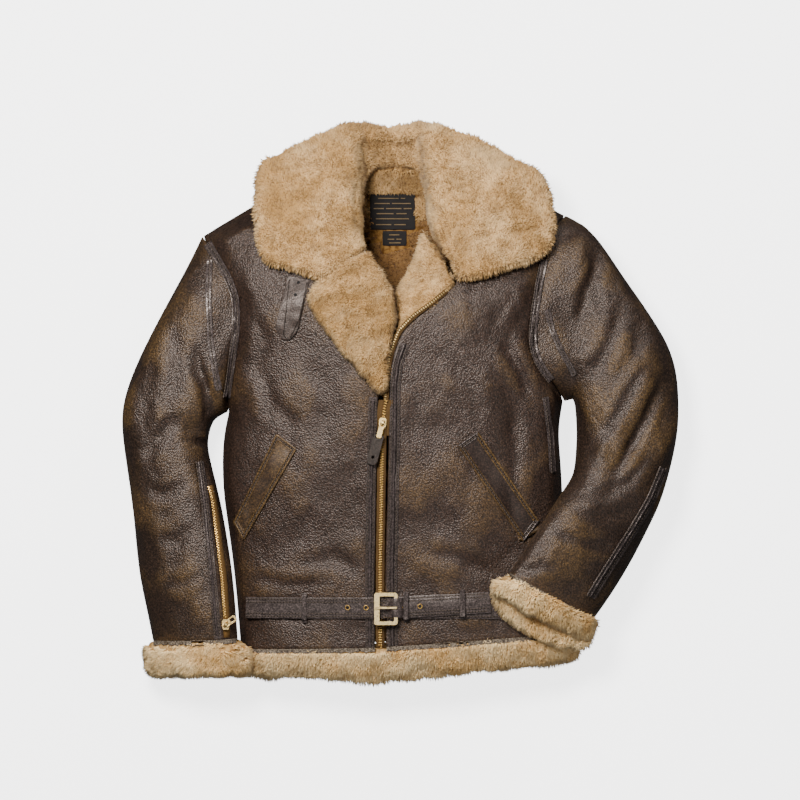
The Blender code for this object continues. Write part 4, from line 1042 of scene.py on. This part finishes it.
def lathe(name, spots, profile, look, node):
    """Rings turned from a profile of radius and height, one at each spot."""
    points, faces = [], []
    size = len(profile)
    for spot in spots:
        begin = len(points)
        for k in range(AROUND):
            turn = 2 * math.pi * k / AROUND
            points += [(spot[0] + r * math.cos(turn), spot[1] + r * math.sin(turn), spot[2] + z)
                       for r, z in profile]
            here, after = begin + k * size, begin + (k + 1) % AROUND * size
            for j in range(size):
                on = (j + 1) % size
                faces.append((here + j, after + j, after + on, here + on))
    mesh = mesh_of(name, points, faces)
    turned_out(mesh)
    made = new_object(name, mesh, look)
    smoothed(mesh)
    return ready(made, node, stands=False)


def seats(spots, node):
    """Places of spots in millimetres on top of a piece."""
    tree = tree_of(LAID[node])
    return [(x * MM, y * MM, top_of([tree], x * MM, y * MM)) for x, y in spots]


RING = [(0.0022, 0.0006), (0.0026, 0.0013), (0.0031, 0.0014), (0.0036, 0.0008),
        (0.0036, -0.0004), (0.0022, -0.0004)]
DISC = [(0.00001, 0.0007), (0.00222, 0.0007), (0.00222, -0.0003), (0.00001, -0.0003)]
belt_seats = seats([(-71, -281), (-46, -281), (0.5, -280.5), (27, -279)], "belt_left")
lathe("belt_eyelets", belt_seats, RING, DULL_BRASS, "belt_left")
# The dark discs in the eyelets and on the strap are painted shade of the holes.
lathe("belt_holes", belt_seats, DISC, HOLE_SHADE, "belt_left")
strap_seats = seats([(-137, 158.5), (-141, 142)], "throat_strap")
lathe("strap_holes", strap_seats, DISC, HOLE_SHADE, "throat_strap")

# The belt's tail comes out over the buckle's right bar: its height at places along the belt
low = top_of([tree_of(LAID["belt_left"])], -0.013, -0.288)
high = top_of([tree_of(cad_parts["buckle_frame"])], -0.0052, -0.281) + 0.0008
over = [(-20, low + 0.0004), (-15, low + 0.001), (-10, high - 0.0004), (-5, high),
        (0, high - 0.0006), (6, low + 0.0012), (13, low + 0.0002)]
BELT_MIDDLE, FLAT_HALF, RIM_DROP = -281, 12, 0.0006
points = [(x * MM, y * MM, z - RIM_DROP * (abs(y - BELT_MIDDLE) > FLAT_HALF))
          for x, z in over for y in (-294.6, -293, -281, -269, -267.4)]
faces = [(5 * k + j, 5 * k + j + 5, 5 * k + j + 6, 5 * k + j + 1)
         for k in range(len(over) - 1) for j in range(4)]
tail = new_object("belt_over_bar", mesh_of("belt_over_bar", points, faces), STRAP_LEATHER)
thickened(tail, 0.0012, 2)
smoothed(tail.data)
evenly_worn(tail, 0.4)
ready(tail, "belt_left", stands=False)


def ragged(name, path, out, under, node, seed):
    """The torn edge of the skin, lying on the fleece past a panel's edge."""
    def wave(step, shift):
        return noise.noise(Vector((k * step, seed, shift)))

    line = offset_path(path, 0, 2.2)
    trees = [tree_of(made) for made in under]
    points = []
    for k, (x, y) in enumerate(line):
        torn = 4.2 + 3.0 * wave(0.31, 0) + 2.4 * wave(0.9, 5)
        root = np.array((x, y)) - out * 1.5
        tip = np.array((x, y)) + out * max(0.6, torn)
        for (px, py), lift in ((root, 0.6), ((x, y), 1.8), (tip, 3.4 + 1.6 * wave(0.5, 9))):
            z = top_of(trees, px * MM, py * MM) or (points[-1][2] if points else 0.1)
            points.append((px * MM, py * MM, z + lift * MM))
    faces = [(a, a + 3, a + 4, a + 1)
             for k in range(len(line) - 1) for a in (3 * k, 3 * k + 1)]
    mesh = mesh_of(name, points, faces)
    build = bmesh.new()
    build.from_mesh(mesh)
    if sum(face.normal.z for face in build.faces) < 0:
        bmesh.ops.reverse_faces(build, faces=build.faces)
    build.to_mesh(mesh)
    build.free()
    made = new_object(name, mesh, RAW_EDGE)
    thickened(made, 0.0008)
    evenly_worn(made, 0.5)
    return ready(made, node, stands=False)


DOWN, ACROSS = np.array((0.0, -1.0)), np.array((-0.47, -0.88))
for node, path, out, under, seed in (
    ("hem_left", [(-216, -340), (-125, -339), (-34, -337)], DOWN, [front_left, hems[0]], 1),
    ("hem_right", [(-18, -336), (60, -331), (150, -324), (238, -317)], DOWN,
     [front_right, hems[1]], 2),
    ("cuff_left", [(-336, -329), (-278, -328), (-222, -325)], DOWN, [left_top, cuffs[0]], 3),
    ("cuff_right", [(262, -297), (205, -266), (148, -235)], ACROSS, [right_top, cuffs[1]], 4),
):
    ragged(node + "_edge", path, out, under, node, seed)

# Hard pieces


for node, look, body in (
    ("front_slider", BRASS, JACKET), ("sleeve_slider", BRASS, JACKET),
    ("buckle_frame", BUCKLE_BRASS, JACKET), ("buckle_prong", BUCKLE_BRASS, JACKET),
    ("front_zip_link", BRASS, "front_zip_pull"),
    ("sleeve_zip_pull", BRASS, "sleeve_zip_pull_body"),
):
    ready(refined(node + "_piece", node, look, 0, 35, 0.0003), node, body)
tab = refined("front_zip_tab_piece", "front_zip_tab", DARK_LEATHER_AND_GROOVE_SHADE, 0, 35, 0.0004)
ready(tab, "front_zip_tab", "front_zip_pull")
evenly_worn(tab, 0.6)

for node in ("neck_label", "size_tab"):
    LAID[node] = ready(refined(node + "_piece", node, LABEL, 2, 35), node)

# Bars of thread in the labels' place of lettering: two ends and a height of each
for node, rows in (
    ("neck_label", [
        (-30, -2, 276), (1, 7, 276), (-35, -14, 269), (-11, 15, 269), (-36, -22, 262),
        (-19, 2, 262), (5, 16, 262), (-32, -9, 255), (-5, 9, 255), (-33, 12, 248),
        (-33, -12, 240), (-8, 8, 240)]),
    ("size_tab", [(-15, -1, 226), (-17, -8, 220), (-5, 2, 220), (-15, 1, 215)]),
):
    lines = [[(x, y) for x in np.linspace(a, b, 5)] for a, b, y in rows]
    band(node + "_bars", node, lines, 1.5, 0.3, LABEL_THREAD)


# Cloth areas, worked out and not kept


def cloth(made, width, length, share, rests_on):
    """Works out an area from a width, a length and a share, and keeps nothing."""
    area = share * width * length
    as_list(rests_on)


cloth(front_left, 0.26, 0.68, 0.82, ["back"])
cloth(front_right, 0.26, 0.68, 0.82, ["back"])
cloth(back, 0.60, 0.70, 0.78, [])
cloth(left_top, 0.22, 0.54, 0.75, ["sleeve_left_under"])
cloth(right_top, 0.22, 0.60, 0.75, ["sleeve_right_under"])
cloth(left_under, 0.21, 0.54, 0.75, [])
cloth(right_under, 0.21, 0.58, 0.75, ["front_right"])
cloth(collar, 0.72, 0.15, 0.75, ["front_left", "front_right"])
cloth(lapel, 0.11, 0.20, 0.6, ["front_left"])
cloth(flap, 0.06, 0.26, 0.62, ["front_right"])
for made, size in zip(hems, ((0.20, 0.045), (0.27, 0.045), (0.55, 0.045))):
    cloth(made, *size, 0.95, ["back"])
for made in cuffs:
    cloth(made, 0.36, 0.048, 0.95, [])
for node, width, length, rests_on in (
    ("belt_left", 0.028, 0.35, "front_left"), ("belt_right", 0.028, 0.225, "front_right"),
    ("throat_strap", 0.028, 0.095, "front_left"), ("neck_label", 0.062, 0.049, "back"),
    ("size_tab", 0.033, 0.0205, "back"), ("pocket_left", 0.031, 0.148, "front_left"),
    ("pocket_right", 0.031, 0.178, "front_right"), ("placket_left", 0.0125, 0.345, "front_left"),
    ("placket_right", 0.0135, 0.43, "front_right"),
    ("side_strip_right", 0.0125, 0.108, "front_right"),
    ("armhole_strip_left", 0.02, 0.23, "front_left"),
    ("armhole_strip_right", 0.02, 0.175, "front_right"),
    ("sleeve_strip_left", 0.0125, 0.246, "sleeve_left_top"),
    ("sleeve_strip_right", 0.019, 0.218, "sleeve_right_top"),
):
    cloth(LAID[node], width, length, 1.0, [rests_on])


# Floor, light and camera

FLOOR_HALF = 6
corners = [(-1, -1), (1, -1), (1, 1), (-1, 1)]
pale = Look("pale_floor", Roughness=0.9, Specular_IOR_Level=0.1, Emission_Color=(1, 1, 1, 1),
            Emission_Strength=3.2)
floor = new_object(
    "floor", mesh_of("floor", [(FLOOR_HALF * x, FLOOR_HALF * y, 0) for x, y in corners],
                     [(0, 1, 2, 3)]),
    pale.finish(Base_Color=pale.mix(pale.noise(3), (0.86, 0.86, 0.86), (0.88, 0.88, 0.88))))
floor.visible_glossy = floor.visible_diffuse = False


def lamp(name, place, target, size, power, tint=(1, 1, 1)):
    light = bpy.data.lights.new(name, "AREA")
    light.shape = "DISK"
    light.size = size
    light.energy = power
    light.color = tint
    made = bpy.data.objects.new(name, light)
    made.location = place
    made.rotation_euler = (Vector(target) - Vector(place)).to_track_quat("-Z", "Y").to_euler()
    bpy.context.scene.collection.objects.link(made)


lamp("key", (-0.65, 0.85, 2.45), (0, 0.02, 0.05), 0.8, 126, (1.0, 0.985, 0.965))
lamp("fill", (1.2, -1.4, 1.6), (0, 0, 0.05), 1.4, 9, (0.96, 0.97, 1.0))
lamp("rim", (1.2, 2.1, 1.1), (0, 0, 0.05), 0.6, 28, (1.0, 0.99, 0.98))
world = bpy.data.worlds.new("studio")
world.use_nodes = True
background = world.node_tree.nodes["Background"].inputs
background["Color"].default_value = (1, 1, 1, 1)
background["Strength"].default_value = 0.085
bpy.context.scene.world = world

# The camera looks straight down, and its picture is this wide at this height over the floor
SENSOR, CAMERA_HEIGHT = 36.0, 9.0
PICTURE_HEIGHT, PICTURE_WIDTH = 0.07, 1.088
camera_data = bpy.data.cameras.new("camera")
camera_data.sensor_width = SENSOR
camera_data.lens = SENSOR * (CAMERA_HEIGHT - PICTURE_HEIGHT) / PICTURE_WIDTH
camera_data.clip_end = 100
camera = bpy.data.objects.new("camera", camera_data)
camera.location = (0.0, 0.0, CAMERA_HEIGHT)
bpy.context.scene.collection.objects.link(camera)
bpy.context.scene.camera = camera
